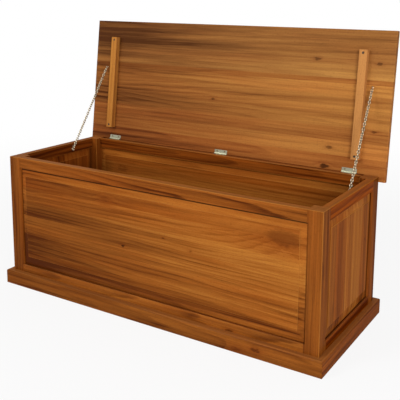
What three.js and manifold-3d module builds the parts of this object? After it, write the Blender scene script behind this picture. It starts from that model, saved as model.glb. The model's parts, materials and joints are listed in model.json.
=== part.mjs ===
// A framed and panelled blanket chest, with its lid open and held by two check chains.
// Millimetres, +Z up, the long front faces -Y, and the chest stands on Z = 0.
import * as THREE from 'three';
import { mergeVertices } from 'three/addons/utils/BufferGeometryUtils.js';
import Module from 'manifold-3d';

const wasm = await Module();
wasm.setup();

// Driving dimensions
const plinth = { length: 1180, depth: 460, height: 47, thickness: 18, arris: 5 };
const carcassTop = 446;
const post = { width: 46, foot: 2, chamfer: 6 };
const rail = { thickness: 24, topHeight: 36, bottomShow: 25, bottomStart: 4, arris: 1.5 };
const tenon = { thickness: 8, wall: 4.4, shoulder: 6 };
const groove = { width: 6.6, depth: 8 };
const panel = { field: 16, endBevel: 20, topBevel: 25, bottomBevel: 30, step: 1.5, play: 1 };
const floorPanel = { thickness: 10, height: 34, groove: 6 };
const lid = { thickness: 20, sideOverhang: 19, frontOverhang: 19, rearOverhang: 22, gap: 1, arris: 1.5 };
const batten = { width: 26, thickness: 20, rearClear: 15, frontClear: 19, fromPost: 32, arris: 1.5 };
const hinge = { length: 50, leafWidth: 12.5, leaf: 1.5, knuckle: 3, pin: 1.4, clear: 0.5, fromPost: 52 };
const leafScrew = { head: 3, headDepth: 1.8, shank: 1.5, length: 14, fromEnd: 10 };
const battenScrew = { head: 4, headDepth: 2.6, shank: 2, length: 31, fromEnd: 10 };
const screwRim = 0.3;
const screwSlot = { width: 0.8, depth: 0.7 };
const eye = { ring: 3.4, wire: 1, shank: 1.2, bite: 12 };
const caseEye = { inset: 10, fromPost: 114, belowTop: 22 };
const lidEye = { inset: 18, fromPin: 270, below: 9 };
const link = { wire: 0.9, play: 0.7, spacing: 8.2, weld: 1.2, joiningExtra: 2, hookCut: 0.3 };
const seam = 0.3;
const overrun = 2;

// Counts, angles and shares
const lidLean = 7;
const lidRest = 90 + lidLean;
const lidBoards = 3;
const arrisSteps = 4;
const screwSides = 10;
const pinSides = 16;
const ringSteps = 12;
const ringSides = 6;
const linkRings = 8;
const linkSides = 5;
const foldShare = 0.58;

// Worked out from the driving dimensions
const carcassLength = plinth.length - 2 * plinth.thickness;
const carcassDepth = plinth.depth - 2 * plinth.thickness;
const bottomRailTop = plinth.height + rail.bottomShow;
const topRailBottom = carcassTop - rail.topHeight;
const postFaceX = carcassLength / 2 - post.width;
const postFaceY = carcassDepth / 2 - post.width;
const railFaceX = carcassLength / 2 - rail.thickness;
const railFaceY = carcassDepth / 2 - rail.thickness;
const hingeBehind = hinge.knuckle + hinge.clear;
const pinY = carcassDepth / 2 + hingeBehind;
const pinZ = carcassTop + lid.gap / 2;
const underside = lid.gap / 2;

// A wall of wood is left in the post between a tenon's mortise and the one that crosses it
const crossingMortise = rail.thickness / 2 + tenon.thickness / 2 + seam;
const tenonLength = post.width - crossingMortise - tenon.wall - seam;

const radians = Math.PI / 180;

// Solids and their joining and cutting
function toSolid(geometry) {
  const bare = geometry.index ? geometry.clone() : mergeVertices(geometry);
  bare.deleteAttribute('normal');
  bare.deleteAttribute('uv');
  const merged = mergeVertices(bare);
  const vertProperties = new Float32Array(merged.attributes.position.array);
  const triVerts = new Uint32Array(merged.index.array);
  return new wasm.Manifold(new wasm.Mesh({ numProp: 3, vertProperties, triVerts }));
}

function toGeometry(solid) {
  const mesh = solid.getMesh();
  const geometry = new THREE.BufferGeometry();
  geometry.setAttribute('position', new THREE.BufferAttribute(mesh.vertProperties, 3));
  geometry.setIndex(new THREE.BufferAttribute(mesh.triVerts, 1));
  return geometry;
}

function join(geometries) {
  return toGeometry(geometries.map(toSolid).reduce((sum, solid) => sum.add(solid)));
}

function cut(geometry, cutters) {
  const whole = toSolid(geometry);
  return toGeometry(cutters.map(toSolid).reduce((rest, solid) => rest.subtract(solid), whole));
}

function common(first, second) {
  return toGeometry(toSolid(first).intersect(toSolid(second)));
}

// A box between two opposite corners, given in any order
function box([x0, x1], [y0, y1], [z0, z1]) {
  const geometry = new THREE.BoxGeometry(Math.abs(x1 - x0), Math.abs(y1 - y0), Math.abs(z1 - z0));
  return geometry.translate((x0 + x1) / 2, (y0 + y1) / 2, (z0 + z1) / 2);
}

// A closed outline drawn square to an axis and stretched along it
const axisBases = {
  x: [new THREE.Vector3(0, 1, 0), new THREE.Vector3(0, 0, 1), new THREE.Vector3(1, 0, 0)],
  y: [new THREE.Vector3(0, 0, 1), new THREE.Vector3(1, 0, 0), new THREE.Vector3(0, 1, 0)],
  z: [new THREE.Vector3(1, 0, 0), new THREE.Vector3(0, 1, 0), new THREE.Vector3(0, 0, 1)],
};

function prism(points, [from, to], axis) {
  const shape = new THREE.Shape(points.map(([u, v]) => new THREE.Vector2(u, v)));
  const geometry = new THREE.ExtrudeGeometry(shape, { depth: to - from, bevelEnabled: false });
  geometry.translate(0, 0, from);
  return geometry.applyMatrix4(new THREE.Matrix4().makeBasis(...axisBases[axis]));
}

// A round bar along an axis
function bar(radius, [from, to], axis, sides) {
  const geometry = new THREE.CylinderGeometry(radius, radius, to - from, sides);
  geometry.rotateX(Math.PI / 2);
  geometry.translate(0, 0, (from + to) / 2);
  return geometry.applyMatrix4(new THREE.Matrix4().makeBasis(...axisBases[axis]));
}

// A square bar set on its corner, which takes a chamfer off an arris that it is centred on
function chamferCutter(size, [from, to], axis) {
  return prism([[size, 0], [0, size], [-size, 0], [0, -size]], [from, to], axis);
}

// A rectangle with the two corners at its start and the two at its end cut off, or square for zero
function easedRectangle([u0, u1], [v0, v1], [first, last]) {
  return [
    ...(first ? [[u0, v0 + first], [u0 + first, v0]] : [[u0, v0]]),
    ...(last ? [[u1 - last, v0], [u1, v0 + last]] : [[u1, v0]]),
    ...(last ? [[u1, v1 - last], [u1 - last, v1]] : [[u1, v1]]),
    ...(first ? [[u0 + first, v1], [u0, v1 - first]] : [[u0, v1]]),
  ];
}

// Materials
const wood = (color) => new THREE.MeshStandardMaterial({ color, roughness: 0.45, metalness: 0 });
const metal = (color) => new THREE.MeshStandardMaterial({ color, roughness: 0.35, metalness: 1 });
const postWood = wood(0x9a5c28);
const railWood = wood(0x8f5526);
const panelWood = wood(0x8a5424);
const plinthWood = wood(0x7d4b1f);
const lidWood = wood(0xa56432);
const battenWood = wood(0xc89150);
const floorWood = wood(0x5d2e17);
const hingeMetal = metal(0xa8a390);
const screwMetal = metal(0xb0a68a);
const chainMetal = metal(0xd0bb90);

function part(name, geometry, material) {
  const mesh = new THREE.Mesh(geometry, material);
  mesh.name = name;
  return mesh;
}

// The four sides of the case. Each is built facing -Y and then turned into its place.
const sides = [
  { name: 'front', turn: 0, length: carcassLength, depth: carcassDepth },
  { name: 'right', turn: 1, length: carcassDepth, depth: carcassLength },
  { name: 'rear', turn: 2, length: carcassLength, depth: carcassDepth },
  { name: 'left', turn: 3, length: carcassDepth, depth: carcassLength },
];
const quarter = Math.PI / 2;

// A cutter drawn in the frame of the chest, brought into the frame of one side
function intoSide(geometry, side) {
  return geometry.clone().rotateZ(-side.turn * quarter);
}

// Corner post, drawn from its outer corner inwards along -X and +Y
function cornerPost() {
  const inner = post.width;
  const body = box([-inner, 0], [0, inner], [post.foot, carcassTop]);
  const mid = rail.thickness / 2;
  const cutters = [];
  const halfTenon = tenon.thickness / 2 + seam;
  const reach = tenonLength + seam;
  for (const [bottom, top] of [tenonSpan(true), tenonSpan(false)]) {
    const height = [bottom - seam, top + seam];
    cutters.push(box([-inner - overrun, -inner + reach], [mid - halfTenon, mid + halfTenon], height));
    cutters.push(box([-mid - halfTenon, -mid + halfTenon], [inner - reach, inner + overrun], height));
  }
  const halfGroove = groove.width / 2;
  const panelHeight = [bottomRailTop - groove.depth, topRailBottom + groove.depth];
  const across = [mid - halfGroove, mid + halfGroove];
  const along = [-mid - halfGroove, -mid + halfGroove];
  cutters.push(box([-inner - overrun, -inner + groove.depth], across, panelHeight));
  cutters.push(box(along, [inner - groove.depth, inner + overrun], panelHeight));
  const opening = [bottomRailTop, topRailBottom];
  cutters.push(chamferCutter(post.chamfer, opening, 'z').translate(-inner, 0, 0));
  cutters.push(chamferCutter(post.chamfer, opening, 'z').translate(0, inner, 0));
  return cut(body, cutters);
}

// The heights between which a rail's tenon lies, clear of the panel's groove
function tenonSpan(isTop) {
  const clear = groove.depth + seam;
  return isTop
    ? [topRailBottom + clear + seam, carcassTop - tenon.shoulder]
    : [rail.bottomStart + tenon.shoulder, bottomRailTop - clear - seam];
}

// The outer and inner face of a rail, in the frame of its side
function railFaces(side) {
  const outer = -side.depth / 2;
  return [outer, outer + rail.thickness];
}

function sideOpening(side) {
  return side.length / 2 - post.width;
}

function frameRail(side, isTop, extraCutters) {
  const [outer, inner] = railFaces(side);
  const half = sideOpening(side) - seam;
  const [bottom, top] = isTop ? [topRailBottom, carcassTop] : [rail.bottomStart, bottomRailTop];
  const mid = (outer + inner) / 2;
  const halfTenon = tenon.thickness / 2;
  const reach = sideOpening(side) + tenonLength;
  const body = box([-half, half], [outer, inner], [bottom, top]);
  const tongue = box([-reach, reach], [mid - halfTenon, mid + halfTenon], tenonSpan(isTop));
  const edge = isTop ? bottom : top;
  const grooveFloor = isTop ? bottom + groove.depth : top - groove.depth;
  const grooveMouth = isTop ? bottom - overrun : top + overrun;
  const run = [-half - overrun, half + overrun];
  const halfGroove = groove.width / 2;
  const cutters = [
    box(run, [mid - halfGroove, mid + halfGroove], [grooveFloor, grooveMouth]),
    chamferCutter(rail.arris, run, 'x').translate(0, outer, edge),
  ];
  if (!isTop) {
    const floorRoom = [floorPanel.height - seam, floorPanel.height + floorPanel.thickness + seam];
    cutters.push(box(run, [inner - floorPanel.groove, inner + overrun], floorRoom));
  }
  return cut(join([body, tongue]), cutters.concat(extraCutters));
}

// Half outline of a raised and fielded panel: distance along it, and half of its thickness there
function fieldedOutline([from, to], [firstBevel, secondBevel]) {
  const tongue = groove.width / 2 - seam;
  const field = panel.field / 2;
  const reach = groove.depth - panel.play;
  return [
    [from - reach, tongue],
    [from, tongue],
    [from + firstBevel, field - panel.step],
    [from + firstBevel, field],
    [to - secondBevel, field],
    [to - secondBevel, field - panel.step],
    [to, tongue],
    [to + reach, tongue],
  ];
}

function fieldedPanel(side) {
  const [outer, inner] = railFaces(side);
  const mid = (outer + inner) / 2;
  const half = sideOpening(side);
  const upright = fieldedOutline([bottomRailTop, topRailBottom], [panel.bottomBevel, panel.topBevel]);
  const level = fieldedOutline([-half, half], [panel.endBevel, panel.endBevel]);
  const section = [
    ...upright.map(([z, t]) => [mid - t, z]),
    ...upright.toReversed().map(([z, t]) => [mid + t, z]),
  ];
  const plan = [
    ...level.map(([x, t]) => [x, mid - t]),
    ...level.toReversed().map(([x, t]) => [x, mid + t]),
  ];
  const wide = half + groove.depth;
  return common(prism(section, [-wide, wide], 'x'), prism(plan, [0, carcassTop], 'z'));
}

// Plinth board with mitred ends and a rounded arris along its outer top edge
function plinthBoard(side) {
  const half = side.length / 2 + plinth.thickness;
  const outer = -side.depth / 2 - plinth.thickness;
  const inner = -side.depth / 2 - seam;
  const section = [[inner, plinth.height], [inner, 0], [outer, 0]];
  for (let step = 0; step <= arrisSteps; step += 1) {
    const angle = quarter * (step / arrisSteps);
    const y = outer + plinth.arris * (1 - Math.cos(angle));
    const z = plinth.height - plinth.arris * (1 - Math.sin(angle));
    section.push([y, z]);
  }
  const back = half - (inner - outer);
  const plan = [
    [-half + seam, outer - overrun],
    [half - seam, outer - overrun],
    [half - seam, outer],
    [back - seam, inner],
    [back - seam, inner + overrun],
    [-back + seam, inner + overrun],
    [-back + seam, inner],
    [-half + seam, outer],
  ];
  const tall = [-overrun, plinth.height + overrun];
  return common(prism(section, [-half, half], 'x'), prism(plan, tall, 'z'));
}

// Bottom panel, notched round the four posts
function bottomPanel() {
  const x = railFaceX + floorPanel.groove - seam;
  const y = railFaceY + floorPanel.groove - seam;
  const notchX = postFaceX - seam;
  const notchY = postFaceY - seam;
  const plan = [
    [notchX, -y], [notchX, -notchY], [x, -notchY], [x, notchY], [notchX, notchY], [notchX, y],
    [-notchX, y], [-notchX, notchY], [-x, notchY], [-x, -notchY], [-notchX, -notchY], [-notchX, -y],
  ];
  const bottom = floorPanel.height;
  return prism(plan, [bottom, bottom + floorPanel.thickness], 'z');
}

// Screws. A countersunk screw stands with its head's face at the origin and its point down.
function screwOutline(screw, room) {
  return [
    [0, room],
    [screw.head + room, room],
    [screw.head + room, -screwRim],
    [screw.shank + room, -screw.headDepth],
    [screw.shank + room, -screw.length],
    [0, -screw.length - room],
  ].map(([r, z]) => new THREE.Vector2(r, z));
}

function turned(outline, segments) {
  const geometry = new THREE.LatheGeometry(outline, segments);
  return geometry.rotateX(quarter);
}

function screwRoom(screw) {
  return turned(screwOutline(screw, seam).toReversed(), screwSides);
}

function slottedScrew(screw) {
  const across = screw.head + overrun;
  const half = screwSlot.width / 2;
  const slot = box([-across, across], [-half, half], [-screwSlot.depth, overrun]);
  return cut(turned(screwOutline(screw, 0).toReversed(), screwSides), [slot]);
}

// Hinges, drawn with the pin along X through the origin and the lid shut
const third = hinge.length / 3;

function knuckleZone(isLid) {
  const inner = [-third / 2, third / 2];
  return isLid ? [inner] : [[-hinge.length / 2, inner[0]], [inner[1], hinge.length / 2]];
}

function hingeLeaf(isLid) {
  const half = hinge.length / 2;
  const near = isLid ? lid.gap / 2 : -lid.gap / 2 - hinge.leaf;
  const plate = box([-half, half], [-hinge.leafWidth, 0], [near, near + hinge.leaf]);
  const tube = (radius, zone, room) => bar(radius, trimmed(zone, room), 'x', pinSides);
  const tubes = knuckleZone(isLid).map((zone) => tube(hinge.knuckle, zone, -seam / 2));
  const rooms = knuckleZone(!isLid).map((zone) => tube(hinge.knuckle + seam, zone, seam / 2));
  const bore = bar(hinge.pin + seam, [-half - overrun, half + overrun], 'x', pinSides);
  return cut(join([plate, ...tubes]), [bore, ...rooms, ...leafScrewRooms(isLid, 0)]);
}

function trimmed([from, to], amount) {
  return [from - amount, to + amount];
}

// The heights of the two leaves' open faces over the pin line
function leafFace(isLid) {
  return isLid ? lid.gap / 2 : -lid.gap / 2;
}

function leafScrewPlaces() {
  const place = hinge.length / 2 - leafScrew.fromEnd;
  return [-place, place];
}

// The screws stand midway between the knuckle and the leaf's far edge
const leafScrewFromPin = (hinge.leafWidth + hinge.knuckle) / 2;

// A leaf's screw point is turned away from the gap between the leaves
function turnedIntoLeaf(geometry, isLid, x) {
  const turnedOver = isLid ? geometry.rotateX(Math.PI) : geometry;
  return turnedOver.translate(x, -leafScrewFromPin, leafFace(isLid));
}

function leafScrewRooms(isLid, shift) {
  return leafScrewPlaces().map((x) => turnedIntoLeaf(screwRoom(leafScrew), isLid, x + shift));
}

// Pocket for a leaf, and a round hollow in the lid for the knuckles
function leafPocket(isLid, shift) {
  const half = hinge.length / 2 + seam;
  const face = leafFace(isLid);
  const depth = hinge.leaf + seam;
  const heights = isLid ? [face - overrun, face + depth] : [face - depth, face + overrun];
  const behind = isLid ? 0 : hinge.knuckle;
  const pocket = box([-half, half], [-hinge.leafWidth - seam, behind], heights);
  const cutters = [pocket.translate(shift, 0, 0), ...leafScrewRooms(isLid, shift)];
  if (isLid) {
    cutters.push(bar(hinge.knuckle + 2 * seam, [-half, half], 'x', pinSides).translate(shift, 0, 0));
  }
  return cutters;
}

const outerHinge = postFaceX - hinge.fromPost;
const hingePlaces = [
  { name: 'left', x: -outerHinge },
  { name: 'middle', x: 0 },
  { name: 'right', x: outerHinge },
];

// Screw eye: its ring stands in the XZ plane with its lowest point at the origin, where the chain
// pulls, and its shank leaves the ring along +Z or, turned aside, along +X
function screwEye(shankLength, isAside) {
  const ring = new THREE.TorusGeometry(eye.ring, eye.wire, ringSides, ringSteps);
  ring.rotateX(quarter).translate(0, 0, eye.ring);
  const shank = bar(eye.shank, [eye.ring, eye.ring + shankLength], 'z', screwSides);
  const placed = isAside ? shank.rotateY(quarter) : shank;
  return join([ring, placed.translate(0, 0, eye.ring)]);
}

// The check chains. Their places are worked out in the plane of the lid's turn, as seen from +X.
const lidAngle = -lidRest * radians;
const eyeShut = new THREE.Vector2(-lidEye.fromPin, underside - lidEye.below);
const eyeOpen = eyeShut.clone().rotateAround(new THREE.Vector2(), lidAngle);
const pinPoint = new THREE.Vector2(pinY, pinZ);
const lower = new THREE.Vector2(postFaceY - caseEye.fromPost, carcassTop - caseEye.belowTop);
const upperOpen = pinPoint.clone().add(eyeOpen);
const upperShut = pinPoint.clone().add(eyeShut);
const lowerAcross = railFaceX - caseEye.inset;
const upperAcross = railFaceX - lidEye.inset;
const chainOpen = upperOpen.clone().sub(lower);
const chainShut = upperShut.clone().sub(lower);
const chainSlant = lowerAcross - upperAcross;
const chainLength = Math.hypot(chainOpen.length(), chainSlant);

// Links are counted so that both halves end on links that turn freely about X
const linkRadius = eye.wire + link.play + link.wire;
const endAllowance = 3 * linkRadius - 2 * link.weld - link.joiningExtra;
const oddNearest = (value) => 2 * Math.round((value - 1) / 2) + 1;
const linkCount = oddNearest((chainLength + endAllowance) / link.spacing);
const lowerCount = oddNearest(linkCount * foldShare);
const pitch = (chainLength + endAllowance) / linkCount;
const linkLength = pitch + link.weld;
const lowerLength = lowerCount * pitch + link.weld - 2 * linkRadius;
const foldRatio = lowerLength / chainLength;

// The lower half turns from its place at rest to its place with the lid shut
const lowerReach = chainOpen.length() * foldRatio;
const upperReach = chainOpen.length() - lowerReach;
const shutReach = chainShut.length();
const cornerCosine = (lowerReach ** 2 + shutReach ** 2 - upperReach ** 2) / (2 * lowerReach * shutReach);
const restTurn = chainOpen.angle();
const shutTurn = chainShut.angle() + Math.acos(cornerCosine);

// One link lies along +Z, centred on X = 0 and Y = 0, from its lower tip's centre line at Z = 0
function chainLink(length) {
  const halfStep = Math.PI / linkRings;
  const radius = linkRadius / Math.cos(halfStep);
  const ring = new THREE.TorusGeometry(radius, link.wire, linkSides, linkRings);
  ring.rotateZ(halfStep);
  const stretch = length / 2 - linkRadius;
  const place = ring.attributes.position;
  for (let i = 0; i < place.count; i += 1) {
    place.setX(i, place.getX(i) + Math.sign(place.getX(i)) * stretch);
  }
  return ring.rotateY(-quarter).translate(0, 0, length / 2);
}

// The links of the lower half all have one length, and the first turns about the eye
function lowerHalf() {
  const links = [];
  for (let i = 0; i < lowerCount; i += 1) {
    const piece = chainLink(linkLength);
    if (i % 2) piece.rotateZ(quarter);
    links.push(piece.translate(0, 0, i * pitch - linkRadius));
  }
  return join(links);
}

// The upper half starts with the longer joining link and ends in an open link over the lid's eye
function upperHalf() {
  const count = linkCount - lowerCount;
  const links = [];
  let start = 0;
  for (let i = 0; i < count; i += 1) {
    const extra = i === 0 ? link.joiningExtra : 0;
    const piece = chainLink(linkLength + extra);
    if (i % 2 === 0) piece.rotateZ(quarter);
    piece.translate(0, 0, start);
    const isLast = i === count - 1;
    links.push(isLast ? opened(piece, start) : piece);
    start += pitch + extra;
  }
  return join(links);
}

// Cuts away the side of a link that would stop the eye from leaving it
function opened(piece, start) {
  const wide = linkRadius + overrun;
  const away = box([-wide, wide], [link.hookCut, wide], [start - overrun, start + linkLength + overrun]);
  return cut(piece, [away]);
}

// Lid boards, drawn with the lid shut and the pin line through the origin
const lidHalfLength = carcassLength / 2 + lid.sideOverhang;
const lidRear = lid.rearOverhang - hingeBehind;
const lidFront = -(carcassDepth + lid.frontOverhang + hingeBehind);
const boardWidth = (lidRear - lidFront - (lidBoards - 1) * seam) / lidBoards;
const boardNames = ['lid_rear_board', 'lid_middle_board', 'lid_front_board'];
const battenEnds = [batten.frontClear - railFaceY - pinY, railFaceY - batten.rearClear - pinY];
const battenAcross = postFaceX - batten.fromPost;
const battenFace = underside - seam - batten.thickness;
const battenScrewPlaces = [battenEnds[1] - battenScrew.fromEnd, battenEnds[0] + battenScrew.fromEnd];
const battenRooms = [-1, 1].flatMap((side) => battenScrewPlaces.map((y) => {
  const room = screwRoom(battenScrew).rotateX(Math.PI);
  return room.translate(side * battenAcross, y, battenFace);
}));

function lidEyeRooms() {
  const run = [underside - overrun, underside + eye.bite + seam];
  const room = () => bar(eye.shank + seam, run, 'z', screwSides);
  return [-1, 1].map((side) => room().translate(side * upperAcross, -lidEye.fromPin, 0));
}

// Only the lid's own edges are eased: where two boards meet, their corners are square
function lidBoard(index) {
  const to = lidRear - index * (boardWidth + seam);
  const from = to - boardWidth;
  const heights = [underside, underside + lid.thickness];
  const easings = [index === lidBoards - 1 ? lid.arris : 0, index === 0 ? lid.arris : 0];
  const section = easedRectangle([from, to], heights, easings);
  const ends = [-lidHalfLength, lidHalfLength];
  const elevation = easedRectangle(ends, heights, [lid.arris, lid.arris]).map(([x, z]) => [z, x]);
  const body = common(prism(section, ends, 'x'), prism(elevation, [lidFront, lidRear], 'y'));
  const hinges = hingePlaces.flatMap(({ x }) => leafPocket(true, x));
  return cut(body, [...hinges, ...battenRooms, ...lidEyeRooms()]);
}

function lidBatten(side) {
  const heights = [battenFace, battenFace + batten.thickness];
  const middle = side * battenAcross;
  const width = [middle - batten.width / 2, middle + batten.width / 2];
  const section = [
    [heights[0] + batten.arris, width[0]],
    [heights[0], width[0] + batten.arris],
    [heights[0], width[1] - batten.arris],
    [heights[0] + batten.arris, width[1]],
    [heights[1], width[1]],
    [heights[1], width[0]],
  ];
  return cut(prism(section, battenEnds, 'y'), battenRooms);
}

// Assembly of the case
const chest = new THREE.Group();

function caseEyePlace(side) {
  const lean = (restTurn + shutTurn) / 2;
  const x = side * lowerAcross;
  return { x, y: lower.x, z: lower.y, lean };
}

// The ring of the case's eye faces the middle of the chain's turn, and its shank runs outwards
function placedCaseEye(side) {
  const { x, y, z, lean } = caseEyePlace(side);
  const length = caseEye.inset - eye.ring + eye.bite;
  const geometry = screwEye(length, true);
  if (side < 0) geometry.rotateZ(Math.PI);
  return geometry.rotateX(lean + quarter).translate(x, y, z);
}

function caseEyeRoom(side) {
  const { x, y, z, lean } = caseEyePlace(side);
  const centreY = y - eye.ring * Math.cos(lean);
  const centreZ = z - eye.ring * Math.sin(lean);
  const run = [railFaceX - overrun, railFaceX + eye.bite + seam];
  const room = bar(eye.shank + seam, run, 'x', screwSides);
  if (side < 0) room.rotateZ(Math.PI);
  return room.translate(0, centreY, centreZ);
}

function sideCutters(side) {
  if (side.name === 'rear') {
    const pockets = hingePlaces.flatMap(({ x }) => leafPocket(false, x));
    return pockets.map((pocket) => intoSide(pocket.translate(0, pinY, pinZ), side));
  }
  if (side.name === 'right') return [intoSide(caseEyeRoom(1), side)];
  if (side.name === 'left') return [intoSide(caseEyeRoom(-1), side)];
  return [];
}

const cornerNames = ['front_right_post', 'rear_right_post', 'rear_left_post', 'front_left_post'];
const cornerSigns = [[1, -1], [1, 1], [-1, 1], [-1, -1]];

sides.forEach((side, index) => {
  const frame = new THREE.Group();
  frame.rotation.z = side.turn * quarter;
  frame.add(part(`${side.name}_top_rail`, frameRail(side, true, sideCutters(side)), railWood));
  frame.add(part(`${side.name}_bottom_rail`, frameRail(side, false, []), railWood));
  frame.add(part(`${side.name}_panel`, fieldedPanel(side), panelWood));
  frame.add(part(`${side.name}_plinth`, plinthBoard(side), plinthWood));
  chest.add(frame);
  const corner = part(cornerNames[index], cornerPost(), postWood);
  corner.rotation.z = side.turn * quarter;
  const [signX, signY] = cornerSigns[index];
  corner.position.set(signX * carcassLength / 2, signY * carcassDepth / 2, 0);
  chest.add(corner);
});
chest.add(part('bottom_panel', bottomPanel(), floorWood));

// Assembly of the lid, turned about the pin line
const lidGroup = new THREE.Group();
lidGroup.position.set(0, pinY, pinZ);
lidGroup.rotation.x = lidAngle;
boardNames.forEach((name, index) => lidGroup.add(part(name, lidBoard(index), lidWood)));

for (const { name, x } of hingePlaces) {
  const half = hinge.length / 2;
  const pin = part(`${name}_hinge_pin`, bar(hinge.pin, [-half, half], 'x', pinSides), screwMetal);
  pin.position.set(x, pinY, pinZ);
  chest.add(pin);
  const caseLeaf = part(`${name}_hinge_case_leaf`, hingeLeaf(false), hingeMetal);
  caseLeaf.position.set(x, pinY, pinZ);
  chest.add(caseLeaf);
  const lidLeaf = part(`${name}_hinge_lid_leaf`, hingeLeaf(true), hingeMetal);
  lidLeaf.position.x = x;
  lidGroup.add(lidLeaf);
  leafScrewPlaces().forEach((place, index) => {
    const end = index === 0 ? 'a' : 'b';
    const caseScrew = part(`${name}_case_leaf_screw_${end}`, slottedScrew(leafScrew), screwMetal);
    caseScrew.position.set(x + place, pinY - leafScrewFromPin, pinZ + leafFace(false));
    chest.add(caseScrew);
    const lidScrew = part(`${name}_lid_leaf_screw_${end}`, slottedScrew(leafScrew), screwMetal);
    lidScrew.rotation.x = Math.PI;
    lidScrew.position.set(x + place, -leafScrewFromPin, leafFace(true));
    lidGroup.add(lidScrew);
  });
}

// Battens, chain eyes and chains, on the left and on the right
for (const [name, side] of [['left', -1], ['right', 1]]) {
  lidGroup.add(part(`${name}_batten`, lidBatten(side), battenWood));
  battenScrewPlaces.forEach((y, index) => {
    const end = index === 0 ? 'rear' : 'front';
    const screw = part(`${name}_batten_${end}_screw`, slottedScrew(battenScrew), screwMetal);
    screw.rotation.x = Math.PI;
    screw.position.set(side * battenAcross, y, battenFace);
    lidGroup.add(screw);
  });
  const lidShank = lidEye.below + eye.bite - 2 * eye.ring;
  const lidRing = part(`${name}_lid_eye`, screwEye(lidShank, false), screwMetal);
  lidRing.position.set(side * upperAcross, -lidEye.fromPin, underside - lidEye.below);
  lidGroup.add(lidRing);
  chest.add(part(`${name}_case_eye`, placedCaseEye(side), screwMetal));

  const eyePoint = new THREE.Vector3(side * lowerAcross, lower.x, lower.y);
  const reach = new THREE.Vector3(-side * chainSlant, chainOpen.x, chainOpen.y).normalize();
  const across = new THREE.Vector3(1, 0, 0).addScaledVector(reach, -reach.x).normalize();
  const forward = new THREE.Vector3().crossVectors(reach, across);
  const turn = new THREE.Matrix4().makeBasis(across, forward, reach);
  const lowerChain = part(`${name}_chain_lower_half`, lowerHalf(), chainMetal);
  lowerChain.quaternion.setFromRotationMatrix(turn);
  lowerChain.position.copy(eyePoint);
  chest.add(lowerChain);
  const upperChain = part(`${name}_chain_upper_half`, upperHalf(), chainMetal);
  upperChain.quaternion.setFromRotationMatrix(turn);
  upperChain.position.copy(eyePoint).addScaledVector(reach, lowerLength);
  chest.add(upperChain);
}

// The whole stands on Z = 0 with its footprint, lid open, centred on the origin
const model = new THREE.Group();
model.add(chest, lidGroup);
model.updateMatrixWorld(true);
const extent = new THREE.Box3().setFromObject(model, true);
const centre = extent.getCenter(new THREE.Vector3());
model.position.set(-centre.x, -centre.y, -extent.min.z);
model.updateMatrixWorld(true);

export default model;
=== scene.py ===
import json
import math
from collections import namedtuple
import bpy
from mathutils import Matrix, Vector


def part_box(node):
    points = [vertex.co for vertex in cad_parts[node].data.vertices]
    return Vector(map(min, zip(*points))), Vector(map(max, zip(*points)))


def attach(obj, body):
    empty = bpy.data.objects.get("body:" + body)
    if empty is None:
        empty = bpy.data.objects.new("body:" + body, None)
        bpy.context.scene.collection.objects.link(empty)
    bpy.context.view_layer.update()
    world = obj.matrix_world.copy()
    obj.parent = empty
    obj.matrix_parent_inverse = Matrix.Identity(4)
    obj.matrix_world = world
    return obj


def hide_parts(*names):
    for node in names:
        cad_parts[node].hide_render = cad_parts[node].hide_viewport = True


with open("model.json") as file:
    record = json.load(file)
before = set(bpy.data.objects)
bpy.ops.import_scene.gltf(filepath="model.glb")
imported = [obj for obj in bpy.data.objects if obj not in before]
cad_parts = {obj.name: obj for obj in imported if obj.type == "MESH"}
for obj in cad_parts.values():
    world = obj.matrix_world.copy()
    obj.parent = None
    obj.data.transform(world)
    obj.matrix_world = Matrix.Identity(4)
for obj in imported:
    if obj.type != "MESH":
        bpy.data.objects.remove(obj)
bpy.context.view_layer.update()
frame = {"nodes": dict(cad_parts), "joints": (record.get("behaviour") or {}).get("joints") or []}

from types import SimpleNamespace

import bmesh
import bpy
from bpy.props import FloatProperty, FloatVectorProperty, IntProperty, PointerProperty
from mathutils import Matrix, Vector

bl_info = {
    "name": "Blanket Chest",
    "version": (1, 0, 0),
    "blender": (4, 5, 0),
    "location": "3D View > Sidebar > Chest",
    "description": "Dresses a framed and panelled blanket chest with an open lid and check chains",
    "category": "Object",
}

MM = 0.001
FULL_COLOUR = 255
QUARTER = math.pi / 2


def shown(red, green, blue):
    """Turns a colour as a screen shows it, from 0 to 255, into the linear one of a shader."""
    shares = (value / FULL_COLOUR for value in (red, green, blue))
    return tuple(share / 12.92 if share <= 0.04045 else ((share + 0.055) / 1.055) ** 2.4
                 for share in shares)


# The frame's own places, from which the pieces take theirs
def joint(name):
    return next(one for one in frame["joints"] if one["name"] == name)


def middle_of(node):
    low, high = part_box(node)
    return (low + high) / 2


def box_in(node, place):
    """The lowest and the highest corner of a node, along the axes that a place sets."""
    back = place.inverted()
    points = [back @ vertex.co for vertex in frame["nodes"][node].data.vertices]
    return [Vector([pick(point[i] for point in points) for i in range(3)]) for pick in (min, max)]


PIN_LINE = Vector(joint("lid_hinge")["pos_m"])
LID_TURN = Matrix.Rotation(-math.radians(joint("lid_hinge")["range_deg"][1]), 4, "X")
LID_PLACE = Matrix.Translation(PIN_LINE) @ LID_TURN
ALONG_X, ALONG_Y, ALONG_Z = Vector((1, 0, 0)), Vector((0, 1, 0)), Vector((0, 0, 1))
UP_LID = (LID_TURN @ -ALONG_Y).normalized()
OFF_LID = (LID_TURN @ -ALONG_Z).normalized()


# Settings that a user would change, lengths in millimetres and angles in degrees
def colour_setting(name, description, colour):
    return FloatVectorProperty(
        name=name, description=description, subtype="COLOR", size=3, min=0, max=1, default=colour)


def length_setting(name, description, low, high, length):
    return FloatProperty(
        name=name, description=description, subtype="DISTANCE", unit="LENGTH",
        min=low * MM, max=high * MM, default=length * MM)


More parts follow.
